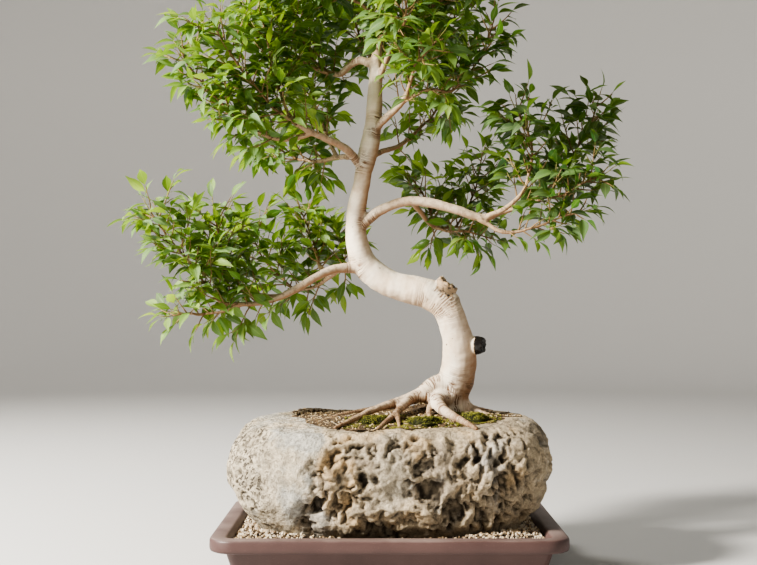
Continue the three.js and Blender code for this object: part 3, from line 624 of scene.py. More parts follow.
def gravel():
    bed = finer_copy("gravel_bed", "gravel", 4.2, 1)
    points, normals = read_points(bed.data)
    up = smooth_step(normals[:, 2], 0.4, 0.8)
    shaded = overhung(points[:, 0], points[:, 1])
    rough = 0.9 * fractal(points, 5, 2) * up
    points += normals * (rough - 1.2 * up)[:, None]
    points[:, 2] -= 6 * shaded * up
    write_points(bed.data, points)
    # painted shade: the bed is nearly black, as the shade between the grains, and darker still under the
    # overhang
    store(bed.data, "tone", (0.02 + 0.1 * rough) * (1 - shaded))
    grit = toned("tan grit", [
        (0.03, 0.02, 0.013), (0.2, 0.13, 0.075), (0.42, 0.31, 0.19), (0.58, 0.46, 0.31),
        (0.46, 0.4, 0.33), (0.7, 0.6, 0.45), (0.78, 0.71, 0.58)], 0.9, 700, 0.0004)
    bed.data.materials.append(grit)
    surface, stone_tree = tree_of(bed), tree_of(boulder)
    rng = np.random.default_rng(GRAIN_SEED)
    low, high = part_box("gravel")
    places, sizes, tones = [], [], []
    while len(places) < GRAIN_COUNT:
        x, y = rng.uniform(low[0], high[0]), rng.uniform(low[1], high[1])
        hit = surface.ray_cast(Vector((x, y, 0.056)), DOWN)[0]
        if hit is None or hit.z < 0.035:
            continue
        near, out, _, distance = stone_tree.find_nearest(hit)
        if (hit - near).dot(out) < 0 or distance < 0.0008:
            continue
        size = 1.4 + 1.5 * rng.random() ** 1.5
        places.append((hit.x / MM, hit.y / MM, hit.z / MM + 0.5 * size))
        sizes.append((size, size * rng.uniform(0.7, 1), size * rng.uniform(0.5, 0.85)))
        # painted shade: grains under the rock's overhang are darker
        tones.append(rng.uniform(0.2, 0.95) * (1 - 0.85 * overhung(x / MM, y / MM)))
    shapes = crushed_shapes(14, 11, rng)
    grains = scatter("gravel_grains", shapes, np.array(places), np.array(sizes), rng, tones,
                     turns(rng, GRAIN_COUNT))
    grains.data.materials.append(grit)
    for piece in (bed, grains):
        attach(piece, "root")
    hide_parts("gravel")


gravel()


# The earth in the rock's pocket: dark, crumbly, spilling a little over the pocket's broken rim,
# with scraps of bark, dry needles, leaf crumbs and small stones lying on it between the roots.
NEEDLES, FLAKES, STONES = 620, 480, 400
LITTER_SEED = 23
PLUMB_TOP = 0.2
POCKET_MIDDLE, POCKET_HALF = (15, -8), (126, 81)


def cells(points, size):
    return np.array([noise.voronoi(Vector(p) / size)[0][0] for p in points])


def under(surface, x, y):
    """Where a plumb line that starts well above the rock's top meets a surface, and the normal there."""
    return surface.ray_cast(Vector((x, y, PLUMB_TOP)), DOWN)[:2]


def lying(rng, count):
    """Rotations that leave a scrap nearly flat, turned any way about the upright."""
    yaw = rng.uniform(0, 2 * math.pi, count)
    tilt, roll = rng.normal(0, 0.16, count), rng.normal(0, 0.16, count)
    ahead = np.stack([np.cos(yaw), np.sin(yaw), tilt], -1)
    ahead /= np.linalg.norm(ahead, axis=1)[:, None]
    aside = np.stack([-np.sin(yaw), np.cos(yaw), roll], -1)
    upward = np.cross(ahead, aside)
    upward /= np.linalg.norm(upward, axis=1)[:, None]
    return np.stack([ahead, np.cross(upward, ahead), upward], 1)


def earth():
    ground = finer_copy("earth_ground", "earth", 2.1, 2)
    points, normals = read_points(ground.data)
    rock_tree = tree_of(boulder)
    way = (points[:, :2] - POCKET_MIDDLE) / POCKET_HALF
    reach = np.hypot(way[:, 0], way[:, 1])
    broken_rim = 6 + 10 * fractal(points * (1, 1, 0), 24, 3, 6.6)
    spill = smooth_step(reach, 0.72, 0.98) * smooth_step(normals[:, 2], 0, 0.5) * broken_rim
    points[:, :2] += way / reach[:, None] * spill[:, None]
    crumbs = 1.1 * fractal(points, 7, 4) + 0.8 * (cells(points, 3.4) - 0.4)
    crumbs *= smooth_step(normals[:, 2], 0.3, 0.8)
    points += normals * crumbs[:, None]
    for i in np.flatnonzero(spill > 0.5):
        x, y, z = points[i] * MM
        hit = under(rock_tree, x, y)[0]
        if hit is not None and hit.z > z - 0.002:
            points[i, 2] = hit.z / MM + 0.5 + 0.8 * crumbs[i]
    write_points(ground.data, points)
    store(ground.data, "tone", 0.42 + 0.3 * crumbs)
    ground.data.materials.append(toned("dark earth", [
        (0.02, 0.013, 0.008), (0.055, 0.037, 0.022), (0.12, 0.08, 0.045), (0.24, 0.165, 0.09)],
        0.97, 500, 0.0008))

    surface = tree_of(ground)
    rng = np.random.default_rng(LITTER_SEED)
    low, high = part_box("earth")
    places = []
    while len(places) < NEEDLES + FLAKES + STONES:
        x, y = rng.uniform(low[0] - 0.01, high[0] + 0.01), rng.uniform(low[1] - 0.01, high[1] + 0.01)
        hit = under(surface, x, y)[0]
        if hit is not None and hit.z > 0.155:
            places.append((hit.x / MM, hit.y / MM, hit.z / MM + 0.6))
    needles = rng.uniform(2.4, 6.5, NEEDLES)
    strips = np.stack([needles, rng.uniform(0.3, 0.55, NEEDLES), rng.uniform(0.25, 0.4, NEEDLES)], -1)
    chips = rng.uniform(0.9, 2.8, FLAKES)
    flakes = np.stack([chips, chips * rng.uniform(0.4, 0.8, FLAKES), rng.uniform(0.25, 0.5, FLAKES)], -1)
    stones = rng.uniform(0.7, 1.9, (STONES, 1)) * rng.uniform(0.7, 1, (STONES, 3))
    sizes = np.concatenate([strips, flakes, stones])
    tones = [rng.uniform(0.35, 0.95, NEEDLES), rng.uniform(0, 0.9, FLAKES), rng.uniform(0.5, 1, STONES)]
    shapes = crushed_shapes(10, 8, rng)
    litter = scatter("earth_litter", shapes, np.array(places), sizes, rng, np.concatenate(tones),
                     lying(rng, len(places)))
    litter.data.materials.append(toned("bark litter", [
        (0.07, 0.042, 0.024), (0.17, 0.1, 0.05), (0.36, 0.23, 0.11), (0.55, 0.4, 0.22), (0.68, 0.54, 0.33),
        (0.5, 0.45, 0.37)], 0.85, 600, 0.0003))
    for piece in (ground, litter):
        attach(piece, "root")
    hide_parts("earth")
    return ground


soil = earth()


# Moss: low yellow-green cushions of tiny upright shoots that creep over the earth beside the
# roots. Each cushion is a soft pad set close with shoots.
MOSS_SEED = 31
MOSS_CREEP = 15 * MM
SHOOTS_PER_MM2 = 0.72
CLUMP = 5.6


def shoot_shapes(count, rng):
    """Small three-sided spikes, waisted at the foot and leaning at the tip."""
    shapes = []
    for _ in range(count):
        points = [(math.cos(a) * 0.34, math.sin(a) * 0.34, 0) for a in (0, 2.1, 4.2)]
        points += [(math.cos(a) * 0.42, math.sin(a) * 0.42, 0.55) for a in (0.6, 2.7, 4.8)]
        lean = rng.normal(0, 0.22, 2)
        points.append((lean[0], lean[1], 1))
        sides = [(k, (k + 1) % 3, (k + 1) % 3 + 3) for k in range(3)]
        sides += [(k, (k + 1) % 3 + 3, k + 3) for k in range(3)]
        tops = [(k + 3, (k + 1) % 3 + 3, 6) for k in range(3)]
        shapes.append((np.array(points), np.array(sides + tops + [(2, 1, 0)])))
    return shapes


def moss(ground):
    green = toned("moss", [(0.012, 0.013, 0.004), (0.05, 0.054, 0.01), (0.15, 0.155, 0.024),
                           (0.34, 0.32, 0.06), (0.52, 0.47, 0.17)], 0.95, 300, 0.0005)
    rng = np.random.default_rng(MOSS_SEED)
    shoots = shoot_shapes(6, rng)
    for name in [n for n in sorted(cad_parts) if n.startswith("moss_")]:
        pad = finer_copy(name + "_pad", name, 1.0, 2)
        points, normals = read_points(pad.data)
        bumps = 2.6 * (0.5 - cells(points, CLUMP)) + 1.1 * fractal(points, 10, 2)
        bumps = bumps * smooth_step(normals[:, 2], 0.1, 0.6) - 0.5
        write_points(pad.data, points + normals * bumps[:, None])
        store(pad.data, "tone", 0.16 + 0.14 * bumps)
        pad.data.materials.append(green)
        surface = tree_of(pad)
        low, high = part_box(name)
        middle, half = np.array((low + high) / 2), np.array((high - low) / 2) + MOSS_CREEP
        copies, faces, tones, start = [], [], [], 0
        for _ in range(int(4 * half[0] * half[1] * 1e6 * SHOOTS_PER_MM2)):
            x, y = middle[:2] + rng.uniform(-1, 1, 2) * half[:2]
            growth = noise.noise(Vector((x, y, 0)) * 150) + 0.5 * noise.noise(Vector((x, y, 5)) * 420)
            hit, out = under(surface, x, y)
            if hit is None:
                hit, out = under(ground, x, y)
                if hit is None or growth < 0.02:
                    continue
            elif growth < -0.32:
                continue
            if out.z < 0.15:
                continue
            shape, sides = shoots[rng.integers(len(shoots))]
            tall, wide = rng.uniform(0.9, 2.1), rng.uniform(0.8, 1.3)
            lean = np.array([out.x, out.y]) * 0.5 + rng.normal(0, 0.18, 2)
            copy = shape * (wide, wide, tall)
            copy[:, :2] += lean * copy[:, 2:]
            copies.append(copy + (hit.x / MM, hit.y / MM, hit.z / MM - 0.2))
            faces.append(sides + start)
            clump = 0.5 - noise.voronoi(Vector((x, y, 0)) / (CLUMP * MM))[0][0]
            shade = rng.uniform(0.05, 0.3) + 0.2 * growth + 0.5 * clump
            tones.append(shade + np.array([0, 0, 0, 0.25, 0.25, 0.25, 0.5]))
            start += len(shape)
        tufts = link_mesh(name + "_shoots", (np.concatenate(copies) * MM).tolist(),
                          np.concatenate(faces).tolist())
        store(tufts.data, "tone", np.concatenate(tones))
        tufts.data.materials.append(green)
        for piece in (pad, tufts):
            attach(piece, "root")
        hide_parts(name)


moss(tree_of(soil))


# The wood: one grown body of trunk, branches, sawn stubs and surface roots in smooth cream bark.
# The routes are those of the frame, each point (x, y, z, radius) in millimetres.
TRUNK = [
    (70, 22, 156, 29), (71, 22, 174, 27), (72, 20, 189, 22.5), (79, 16, 209, 21), (82, 8, 236, 19.5),
    (77, 2, 264, 17), (67, 0, 290, 17), (49, 2, 305, 17.2), (25, 6, 312, 17), (2, 10, 319, 15.8),
    (-17, 12, 331, 15.6), (-30, 12, 344, 15), (-35, 10, 359, 13.4), (-38, 8, 380, 11.8),
    (-37, 5, 402, 11.2), (-32, 0, 430, 10.2), (-27, -2, 456, 10.4), (-21, 0, 482, 10.8),
    (-17, 4, 517, 9.6), (-15, 10, 552, 8.4), (-14, 14, 580, 6.6), (-12, 18, 605, 5.2),
    (-9, 24, 632, 4), (-4, 28, 666, 2.9), (-6, 26, 699, 1.8),
]
STUBS = {
    "high": [(58, 0, 302, 14.5), (63, 0, 311, 13), (69, -1, 320, 11.5)],
    "low": [(80, 8, 246, 14), (94, 2, 247, 9.6), (103, -2, 247.5, 10.8), (110, -5, 247.5, 8.5)],
}
BRANCHES = {
    "low_left": [
        (-19, 12, 337, 8.5), (-38, 10, 337, 7.2), (-63, 1, 335, 5.4), (-83, -8, 326, 4.9),
        (-108, -13, 311, 4.5), (-135, -16, 299, 3.5), (-158, -20, 295, 2.9), (-182, -26, 296, 2)],
    "low_left_inner": [
        (-108, -14, 310, 3.6), (-127, -6, 304, 3.3), (-146, 2, 305, 2.9), (-164, 6, 309, 2.5),
        (-181, 10, 316, 1.9)],
    "low_left_under": [(-164, -21, 295, 2.4), (-186, -25, 287, 2), (-208, -31, 284, 1.7)],
    "low_left_rise": [(-62, 0, 335, 4.2), (-73, 24, 334, 3.4), (-82, 52, 341, 2.9), (-86, 76, 356, 1.9)],
    "low_left_behind": [(-56, 4, 336, 3.8), (-71, 28, 326, 3), (-88, 54, 316, 2.5), (-107, 78, 312, 1.9)],
    "low_left_back": [(-46, 8, 336, 4), (-50, 30, 335, 3), (-52, 54, 338, 2.5), (-54, 76, 346, 1.8)],
    "right": [
        (-35, 6, 384, 8.5), (-24, 4, 393, 6.8), (-8, -1, 404, 6), (20, -9, 413, 5.8),
        (47, -12, 411, 5.9), (80, -14, 402, 5.4), (105, -12, 394, 4.7), (121, -10, 396, 3.8)],
    "right_upper": [(110, -12, 394, 4), (131, -16, 403, 3.2), (144, -19, 413, 2.8), (154, -21, 425, 2.4),
                    (160, -23, 446, 1.9)],
    "right_outer": [(116, -9, 395, 3.8), (133, -2, 402, 3), (153, 8, 411, 2.7), (172, 16, 419, 2.3),
                    (190, 20, 434, 1.9)],
    "right_middle": [(128, -4, 400, 3), (143, -6, 404, 2.8), (157, -12, 409, 2.3), (172, -20, 414, 1.9)],
    "right_under": [(98, -13, 396, 4), (114, -14, 386, 3), (127, -17, 378, 2.6), (144, -20, 377, 2.3),
                    (164, -24, 382, 1.8)],
    "right_behind": [(27, -8, 412, 4), (37, 16, 403, 3.2), (47, 44, 393, 2.8), (60, 70, 387, 2.5),
                     (79, 94, 390, 1.9)],
    "right_behind_low": [(56, 63, 389, 2.6), (69, 56, 383, 2.1), (86, 46, 382, 1.8)],
    "right_behind_left": [(56, 60, 389, 2.7), (55, 74, 393, 2.3), (52, 88, 408, 1.8)],
    "mid_left": [
        (-27, -2, 448, 7), (-36, -6, 459, 5.6), (-50, -17, 473, 4.8), (-73, -30, 483, 4.2),
        (-98, -39, 494, 3.4), (-122, -47, 509, 2)],
    "mid_left_long": [(-85, -34, 488, 3.2), (-105, -33, 482, 2.7), (-126, -34, 481, 2.5),
                      (-146, -36, 488, 2.2), (-165, -38, 500, 1.9)],
    "mid_left_rise": [(-104, -41, 498, 2.8), (-113, -36, 510, 2.4), (-119, -30, 523, 2.1),
                      (-124, -26, 538, 1.8)],
    "mid_left_behind": [(-40, -9, 464, 4), (-59, 18, 467, 3.2), (-83, 50, 466, 2.6), (-105, 78, 471, 1.9)],
    "mid_left_back_rise": [(-60, 20, 467, 3), (-71, 46, 490, 2.4), (-79, 70, 514, 1.9)],
    "high_left": [
        (-15, 12, 573, 6.2), (-32, 20, 581, 4.9), (-45, 33, 578, 4.6), (-58, 48, 570, 3.9),
        (-77, 62, 578, 2.8), (-92, 70, 592, 1.9)],
    "high_left_outer": [(-66, 55, 571, 3.1), (-89, 48, 577, 2.4), (-108, 40, 588, 1.9)],
    "mid_right": [
        (-20, 0, 485, 6.2), (-12, -5, 500, 5), (4, -18, 514, 4.3), (16, -28, 525, 3.7),
        (23, -38, 541, 2.6), (28, -54, 557, 1.8)],
    "mid_right_out": [(13, -26, 523, 3.2), (29, -31, 531, 2.6), (47, -32, 538, 2.2), (61, -31, 536, 1.8)],
    "back_right": [(-24, 2, 462, 5), (-10, 20, 473, 3.6), (14, 50, 485, 3), (46, 76, 516, 1.9)],
    "high_right": [(-14, 10, 548, 5), (-8, 4, 564, 3.8), (-1, -6, 580, 3.3), (6, -16, 594, 2.7),
                   (13, -26, 609, 1.9)],
    "front_high": [(-12, 18, 600, 4), (-6, -12, 605, 3), (4, -46, 605, 2.5), (14, -76, 601, 1.9)],
    "back_high": [(-15, 12, 562, 4.6), (-17, 44, 582, 3.1), (-24, 74, 602, 2.5), (-32, 98, 620, 1.9)],
    "back_high_right": [(-13, 18, 576, 4), (5, 54, 591, 3), (32, 88, 608, 2.4), (45, 102, 618, 1.9)],
    "crown_left": [(-9, 24, 628, 3.6), (-26, 14, 641, 2.8), (-45, 4, 651, 2.2), (-58, -2, 656, 1.8)],
    "crown_left_back": [(-7, 26, 642, 3.2), (-26, 38, 664, 2.4), (-51, 54, 685, 1.8)],
    "crown_right": [(-5, 28, 659, 2.8), (9, 24, 677, 2.2), (28, 18, 687, 1.8)],
    "crown_front": [(-5, 27, 669, 2.5), (-9, -6, 674, 2.1), (-14, -42, 675, 1.8)],
    "crown_back": [(-4, 28, 678, 2.4), (2, 52, 704, 2), (7, 70, 721, 1.7)],
}
ROOTS = {
    "left_long": [(70, 14, 200, 17), (52, 8, 200, 11.5), (36, 0, 191, 8.2), (20, -10, 186, 6.2),
                  (-2, -30, 181, 5), (-23, -48, 175, 4), (-43, -68, 167, 3.1), (-60, -88, 161, 2)],
    "left_middle": [(67, 10, 179, 13), (42, 0, 189, 8), (27, -6, 188, 6.6), (17, -24, 181, 5.2),
                    (7, -46, 173, 3.8), (-5, -70, 165, 2.9), (-14, -92, 159, 2)],
    "left_toe": [(9, -40, 176, 3.2), (10, -58, 168, 2.8), (11, -79, 161, 2)],
    "front": [(72, 14, 184, 16), (56, -8, 185, 9), (61, -28, 176, 6.6), (70, -46, 171, 5.2),
              (82, -66, 166, 3.9), (95, -88, 160, 2.4)],
    "front_small": [(64, 6, 182, 9), (50, -10, 181, 4.2), (45, -24, 174, 3.2), (46, -38, 168, 2.2)],
    "right": [(80, 22, 176, 13), (91, 20, 175, 7.5), (102, 14, 170, 5), (114, 4, 167, 3.4),
              (127, -10, 164, 2.1)],
    "left_back": [(68, 26, 180, 12), (42, 32, 184, 6.5), (9, 28, 177, 4.6), (-28, 18, 171, 3.4),
                  (-58, -6, 167, 2.8), (-82, -48, 162, 2)],
    "back_left": [(72, 30, 178, 12), (62, 56, 178, 6), (49, 80, 171, 3.5), (32, 98, 165, 2)],
    "back_right": [(79, 30, 176, 12), (92, 54, 173, 6), (109, 74, 168, 3.5), (130, 86, 164, 2)],
}
FORKS = ("low_left", "right", "mid_left", "mid_right", "high_left", "back_right")
KNEE = (56, -6, 296)
SWELLING = (78, 0, 304)
WOOD_CUT = 1.5
# each sawn end: how black it is, how deep the cut colour goes, how much further in front, how
# hollow it is and how ragged
CUTS = {"high": (0.42, 4, 0.85, 1.5, 3), "low": (1.0, 10.5, 0, 3.2, 1.6)}


def smooth_route(route, step):
    """Points on one smooth curve through the route's points, no further apart than the step."""
    rows = np.array(route, float)
    ends = [2 * rows[0] - rows[1], *rows, 2 * rows[-1] - rows[-2]]
    curve = []
    for i in range(1, len(ends) - 2):
        a, b, c, d = ends[i - 1:i + 3]
        first, middle, last = [math.sqrt(np.linalg.norm((q - p)[:3])) for p, q in ((a, b), (b, c), (c, d))]
        leave = ((b - a) / first - (c - a) / (first + middle) + (c - b) / middle) * middle
        arrive = ((c - b) / middle - (d - b) / (middle + last) + (d - c) / last) * middle
        pieces = max(1, math.ceil(np.linalg.norm((c - b)[:3]) / step))
        for t in np.arange(pieces) / pieces:
            curve.append((2 * t**3 - 3 * t**2 + 1) * b + (t**3 - 2 * t**2 + t) * leave
                         + (-2 * t**3 + 3 * t**2) * c + (t**3 - t**2) * arrive)
    return np.array([*curve, rows[-1]])


def lengths(curve):
    steps = np.linalg.norm(np.diff(curve[:, :3], axis=0), axis=1)
    return np.concatenate([[0], np.cumsum(steps)])


def headings(curve):
    ahead = np.gradient(curve[:, :3], axis=0)
    return ahead / np.linalg.norm(ahead, axis=1)[:, None]


def tube_rings(curve, sides):
    """Rings of points round a curve whose rows are (x, y, z, radius)."""
    across = np.array([0.3, 1, 0.2])
    angles = np.arange(sides) * 2 * math.pi / sides
    rings = []
    for centre, forward in zip(curve, headings(curve)):
        across = across - forward * across.dot(forward)
        across /= np.linalg.norm(across)
        side = np.cross(forward, across)
        ring = np.outer(np.cos(angles), across) + np.outer(np.sin(angles), side)
        rings.append(centre[:3] + centre[3] * ring)
    return rings


def near_to(points, place, reach):
    """1 at the place, falling softly to nothing beyond the reach."""
    return np.exp(-(np.linalg.norm(points - place, axis=1) / reach) ** 2)


def bark():
    """Smooth cream bark, browner where thin and with painted shade on the sides turned from the light, with
    wrinkles, pores and sawn ends.
    """
    material, finish = new_finish("cream bark")
    place = finish.place()
    along, crease, sawn = finish.stored("along"), finish.stored("crease"), finish.stored("sawn")
    broad = finish.noise(place, 32, 6, 0.6)
    cream = finish.colours(broad, [(0.3, (0.58, 0.41, 0.27)), (0.43, (0.78, 0.64, 0.48)),
                                   (0.64, (0.88, 0.79, 0.65))])
    young = finish.share(finish.stored("thick"), 8, 2.4, 0, 0.95)
    tan = finish.mix(young, cream, (0.38, 0.25, 0.14))
    # brown flecks on the thinner wood
    flecks = finish.noise(place, 230, 3, 0.6)
    fleck = finish.reckon("MULTIPLY", finish.share(flecks, 0.52, 0.6, 0, 0.75), young)
    flecked = finish.mix(fleck, tan, (0.09, 0.05, 0.028))
    # painted shade: the underside and the right side, turned from the key light, are painted browner
    facing = finish.facing()
    shade_side = finish.reckon("ADD", broad, finish.reckon("SUBTRACT", facing["X"], facing["Z"]))
    painted_shade_brown = finish.mix(finish.share(shade_side, 0.45, 1.5), flecked, (0.31, 0.17, 0.085))
    # rings round the limb, wandering a little, as in the wrinkles of thin bark
    wander = finish.noise(place, 55, 3)
    way = finish.reckon("ADD", along, finish.reckon("MULTIPLY", wander, 9))
    rings = finish.noise(finish.add("CombineXYZ", {"X": way}).outputs["Vector"], 0.36, 2, 0.6)
    soft = finish.reckon("MULTIPLY", finish.share(rings, 0.4, 0.62), crease)
    # thin dark wrinkles where the rings are tightest, broken off here and there
    beside = finish.reckon("ABSOLUTE", finish.reckon("SUBTRACT", rings, 0.5))
    kept = finish.reckon("MULTIPLY", finish.share(wander, 0.45, 0.53), finish.share(crease, 0.25, 0.6))
    wrinkle = finish.reckon("MULTIPLY", finish.share(beside, 0.05, 0.015), kept)
    folded = finish.reckon("MAXIMUM", finish.reckon("MULTIPLY", soft, 0.4), wrinkle)
    wrinkled = finish.mix(folded, painted_shade_brown, (0.17, 0.09, 0.045))
    # small dark breathing pores
    pore = finish.share(finish.cells(place, 95), 0.12, 0.06)
    dotted = finish.reckon("MULTIPLY", pore, finish.share(finish.noise(place, 40), 0.5, 0.58))
    marked = finish.mix(dotted, wrinkled, (0.1, 0.055, 0.03))
    # the sawn ends, from brown and crumbling to black
    crumbled = finish.reckon("ADD", sawn, finish.share(flecks, 0, 1, -0.8, 0.8))
    cut = finish.colours(crumbled, [(0.38, (0.4, 0.28, 0.17)), (0.66, (0.012, 0.01, 0.009))])
    colour = finish.mix(finish.share(sawn, 0.05, 0.4), marked, cut)
    rough = finish.reckon("MULTIPLY", finish.share(broad, 0, 1, 0.45, 0.72),
                          finish.share(sawn, 0.55, 0.8, 1, 0.4))
    low = finish.reckon("MULTIPLY", finish.noise(place, 420, 4), 0.35)
    relief = finish.reckon("SUBTRACT", finish.reckon("SUBTRACT", low, dotted), folded)
    finish.surface(colour, rough, 0.4, relief, 0.6, 0.0006)
    return material


def grown_skin(routes):
    """One skin round all the routes, grown together where they meet, and a sample every 3 mm."""
    points, faces, samples = [], [], []
    for route in routes:
        curve = smooth_route(route, 3)
        samples += [(*row, at, *way) for row, at, way in zip(curve, lengths(curve), headings(curve))]
        sides = 20 if route[0][3] > 10 else 12
        rings = tube_rings(curve, sides)
        faces += tube_faces(len(rings), sides, len(points))
        points += [tuple(p * MM) for ring in rings for p in ring]
    made = link_mesh("tree_wood", points, faces)
    remeshed(made, WOOD_CUT, 5)
    return made, samples


def thick_and_along(points, samples):
    """How thick the limb is at each point, and how far along its route the point lies."""
    near = kdtree.KDTree(len(samples))
    for i, sample in enumerate(samples):
        near.insert(sample[:3], i)
    near.balance()
    thick, along = np.empty(len(points)), np.empty(len(points))
    for i, p in enumerate(points):
        best = min(near.find_n(p, 12), key=lambda found: found[2] / samples[found[1]][3])
        sample = np.array(samples[best[1]])
        thick[i], along[i] = sample[3], sample[4] + (p - sample[:3]) @ sample[5:]
    return thick, along


def wood():
    made, samples = grown_skin([TRUNK, *STUBS.values(), *BRANCHES.values(), *ROOTS.values()])
    points, normals = read_points(made.data)
    thick, along = thick_and_along(points, samples)
    stout = smooth_step(thick, 3, 12)
    height = stout * (1.1 * fractal(points, 38, 2) + 0.45 * fractal(points, 11, 3, 4.2))
    height += 0.5 * smooth_step(thick, 1.5, 4) * (1 - 0.85 * stout) * fractal(points, 7, 2, 5.5)
    # cross wrinkles on the knee, at the foot and where branches leave
    foot = smooth_step(points[:, 2], 240, 190)
    forks = np.max([near_to(points, BRANCHES[name][1][:3], 15) for name in FORKS], axis=0)
    crease = np.clip(0.15 + 0.65 * near_to(points, KNEE, 26) + 0.55 * foot + 0.8 * forks, 0, 1)
    lines = np.array([noise.noise(Vector((a * 0.75, 0.04 * p[0], 0.04 * p[2])))
                      for a, p in zip(along, points)])
    height -= 0.45 * crease * smooth_step(lines, 0.05, 0.4) * smooth_step(thick, 2.5, 6)
    # bark swollen up to the right edge of the high cut
    height += 3 * near_to(points, SWELLING, 7)
    # the sawn ends: the high one brown and crumbling towards the front, the low one black and hollow
    sawn = np.zeros(len(points))
    for name, (black, depth, slant, hollow, ragged) in CUTS.items():
        tip, before = np.array(STUBS[name][-1]), np.array(STUBS[name][-2])
        axis = (tip - before)[:3] / np.linalg.norm((tip - before)[:3])
        out = (points - tip[:3]) @ axis + 1.2 * fractal(points, 5, 2, 3.1)
        aside = np.linalg.norm(points - tip[:3] - np.outer(out, axis), axis=1)
        near_end = (aside < tip[3] + 5) * (out < 8)
        face = smooth_step(out + slant * (tip[1] - points[:, 1]), -depth, -depth + 1.4) * near_end
        inner = smooth_step(out, -2.4, -0.8) * near_end * smooth_step(aside, tip[3] * 0.95, tip[3] * 0.4)
        sawn = np.maximum(sawn, black * face)
        height -= hollow * inner * (1 + 0.5 * fractal(points, 4, 2))
        height += ragged * smooth_step(out, -6, -1) * near_end * fractal(points, 4.5, 3, 6.4)
    write_points(made.data, points + normals * height[:, None])
    store(made.data, "thick", thick)
    store(made.data, "along", along)
    store(made.data, "crease", crease)
    store(made.data, "sawn", sawn)
    made.data.materials.append(bark())
    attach(made, "root")
    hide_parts("tree")


wood()


# The leafy sprays: each goes on from a branch's end as a green-brown leading twig with side twigs
# all round, leaves in two ranks. The routes are those of the frame, in millimetres.
SPRAYS = {
    "low_left": (62, [(-204, -38, 315), (-224, -52, 344), (-246, -62, 372), (-262, -66, 396)]),
    "low_left_inner": (62, [(-191, 10, 337), (-195, 4, 366), (-200, -4, 396)]),
    "low_left_under": (44, [(-223, -40, 285), (-240, -52, 282)]),
    "low_left_rise": (52, [(-96, 88, 384), (-108, 94, 412)]),
    "low_left_behind": (60, [(-130, 94, 327), (-153, 100, 350), (-170, 96, 386)]),
    "low_left_back": (48, [(-57, 94, 360), (-60, 104, 384)]),
    "right_upper": (56, [(162, -30, 473), (153, -40, 495), (142, -46, 513)]),
    "right_outer": (56, [(209, 26, 459), (226, 20, 486), (238, 10, 512), (242, 4, 527)]),
    "right_middle": (54, [(194, -30, 417), (217, -42, 430), (236, -48, 438)]),
    "right_under": (46, [(182, -32, 388), (198, -40, 394), (215, -46, 398)]),
    "right_behind": (60, [(97, 104, 412), (109, 106, 439), (114, 102, 466)]),
    "right_behind_low": (42, [(101, 36, 379), (122, 30, 372)]),
    "right_behind_left": (54, [(45, 106, 429), (28, 112, 455)]),
    "mid_left": (64, [(-145, -58, 533), (-164, -66, 555), (-179, -70, 579), (-193, -70, 600)]),
    "mid_left_long": (58, [(-187, -42, 520), (-205, -44, 538), (-223, -42, 561), (-234, -38, 578)]),
    "mid_left_rise": (60, [(-132, -20, 562), (-138, -14, 591), (-144, -10, 617)]),
    "mid_left_behind": (54, [(-128, 98, 483), (-154, 108, 497)]),
    "mid_left_back_rise": (58, [(-89, 90, 537), (-101, 98, 560)]),
    "high_left": (62, [(-104, 84, 614), (-113, 92, 643), (-123, 92, 668)]),
    "high_left_outer": (60, [(-126, 30, 603), (-148, 20, 624), (-167, 14, 644)]),
    "mid_right": (54, [(38, -76, 567), (52, -96, 580)]),
    "mid_right_out": (58, [(80, -36, 543), (96, -42, 562), (110, -46, 589), (118, -44, 614)]),
    "back_right": (52, [(64, 86, 541), (74, 90, 566)]),
    "high_right": (62, [(40, -40, 624), (66, -48, 638), (93, -50, 644)]),
    "front_high": (56, [(18, -102, 615), (12, -118, 632)]),
    "back_high": (60, [(-40, 116, 647), (-45, 124, 674)]),
    "back_high_right": (60, [(62, 112, 633), (86, 114, 655)]),
    "crown_left": (64, [(-77, -10, 661), (-106, -22, 674), (-133, -28, 681)]),
    "crown_left_back": (60, [(-73, 66, 700), (-95, 80, 717)]),
    "crown_right": (62, [(48, 14, 696), (76, 8, 704)]),
    "crown_front": (58, [(-19, -66, 680), (-25, -82, 692)]),
    "crown_back": (54, [(12, 86, 729), (20, 98, 737)]),
    "apex": (50, [(-10, 22, 718), (-15, 16, 732)]),
}
LEAF_LENGTH = 34
LEAF_WIDTH = 11.4
STALK_SHARE = 0.13
# the blade's outline: how far along it, and the half width there as a share of the widest
BLADE_OUTLINE = [(0, 0.08), (0.12, 0.5), (0.27, 0.88), (0.43, 1), (0.61, 0.8), (0.8, 0.36), (1, 0.03)]
BLADE_ROW = (-1, -0.5, 0, 0.5, 1)
TWIG_SPACING = 5.1
LEAF_SPACING = 7.0
TWIG_RINGS = 5
SUB_TWIGS_FROM = 31
# each twig stands this much further round its stem than the last, in radians
TWIG_TURN = 2.4
LEADER_SIDES, TWIG_SIDES, STALK_SIDES = 7, 4, 3
FIRST_SEED = 201
# leaf tips go no further than this past the model's box, and twigs end this far below its top
OVERHANG = 0.012
UP = np.array([0.0, 0, 1])


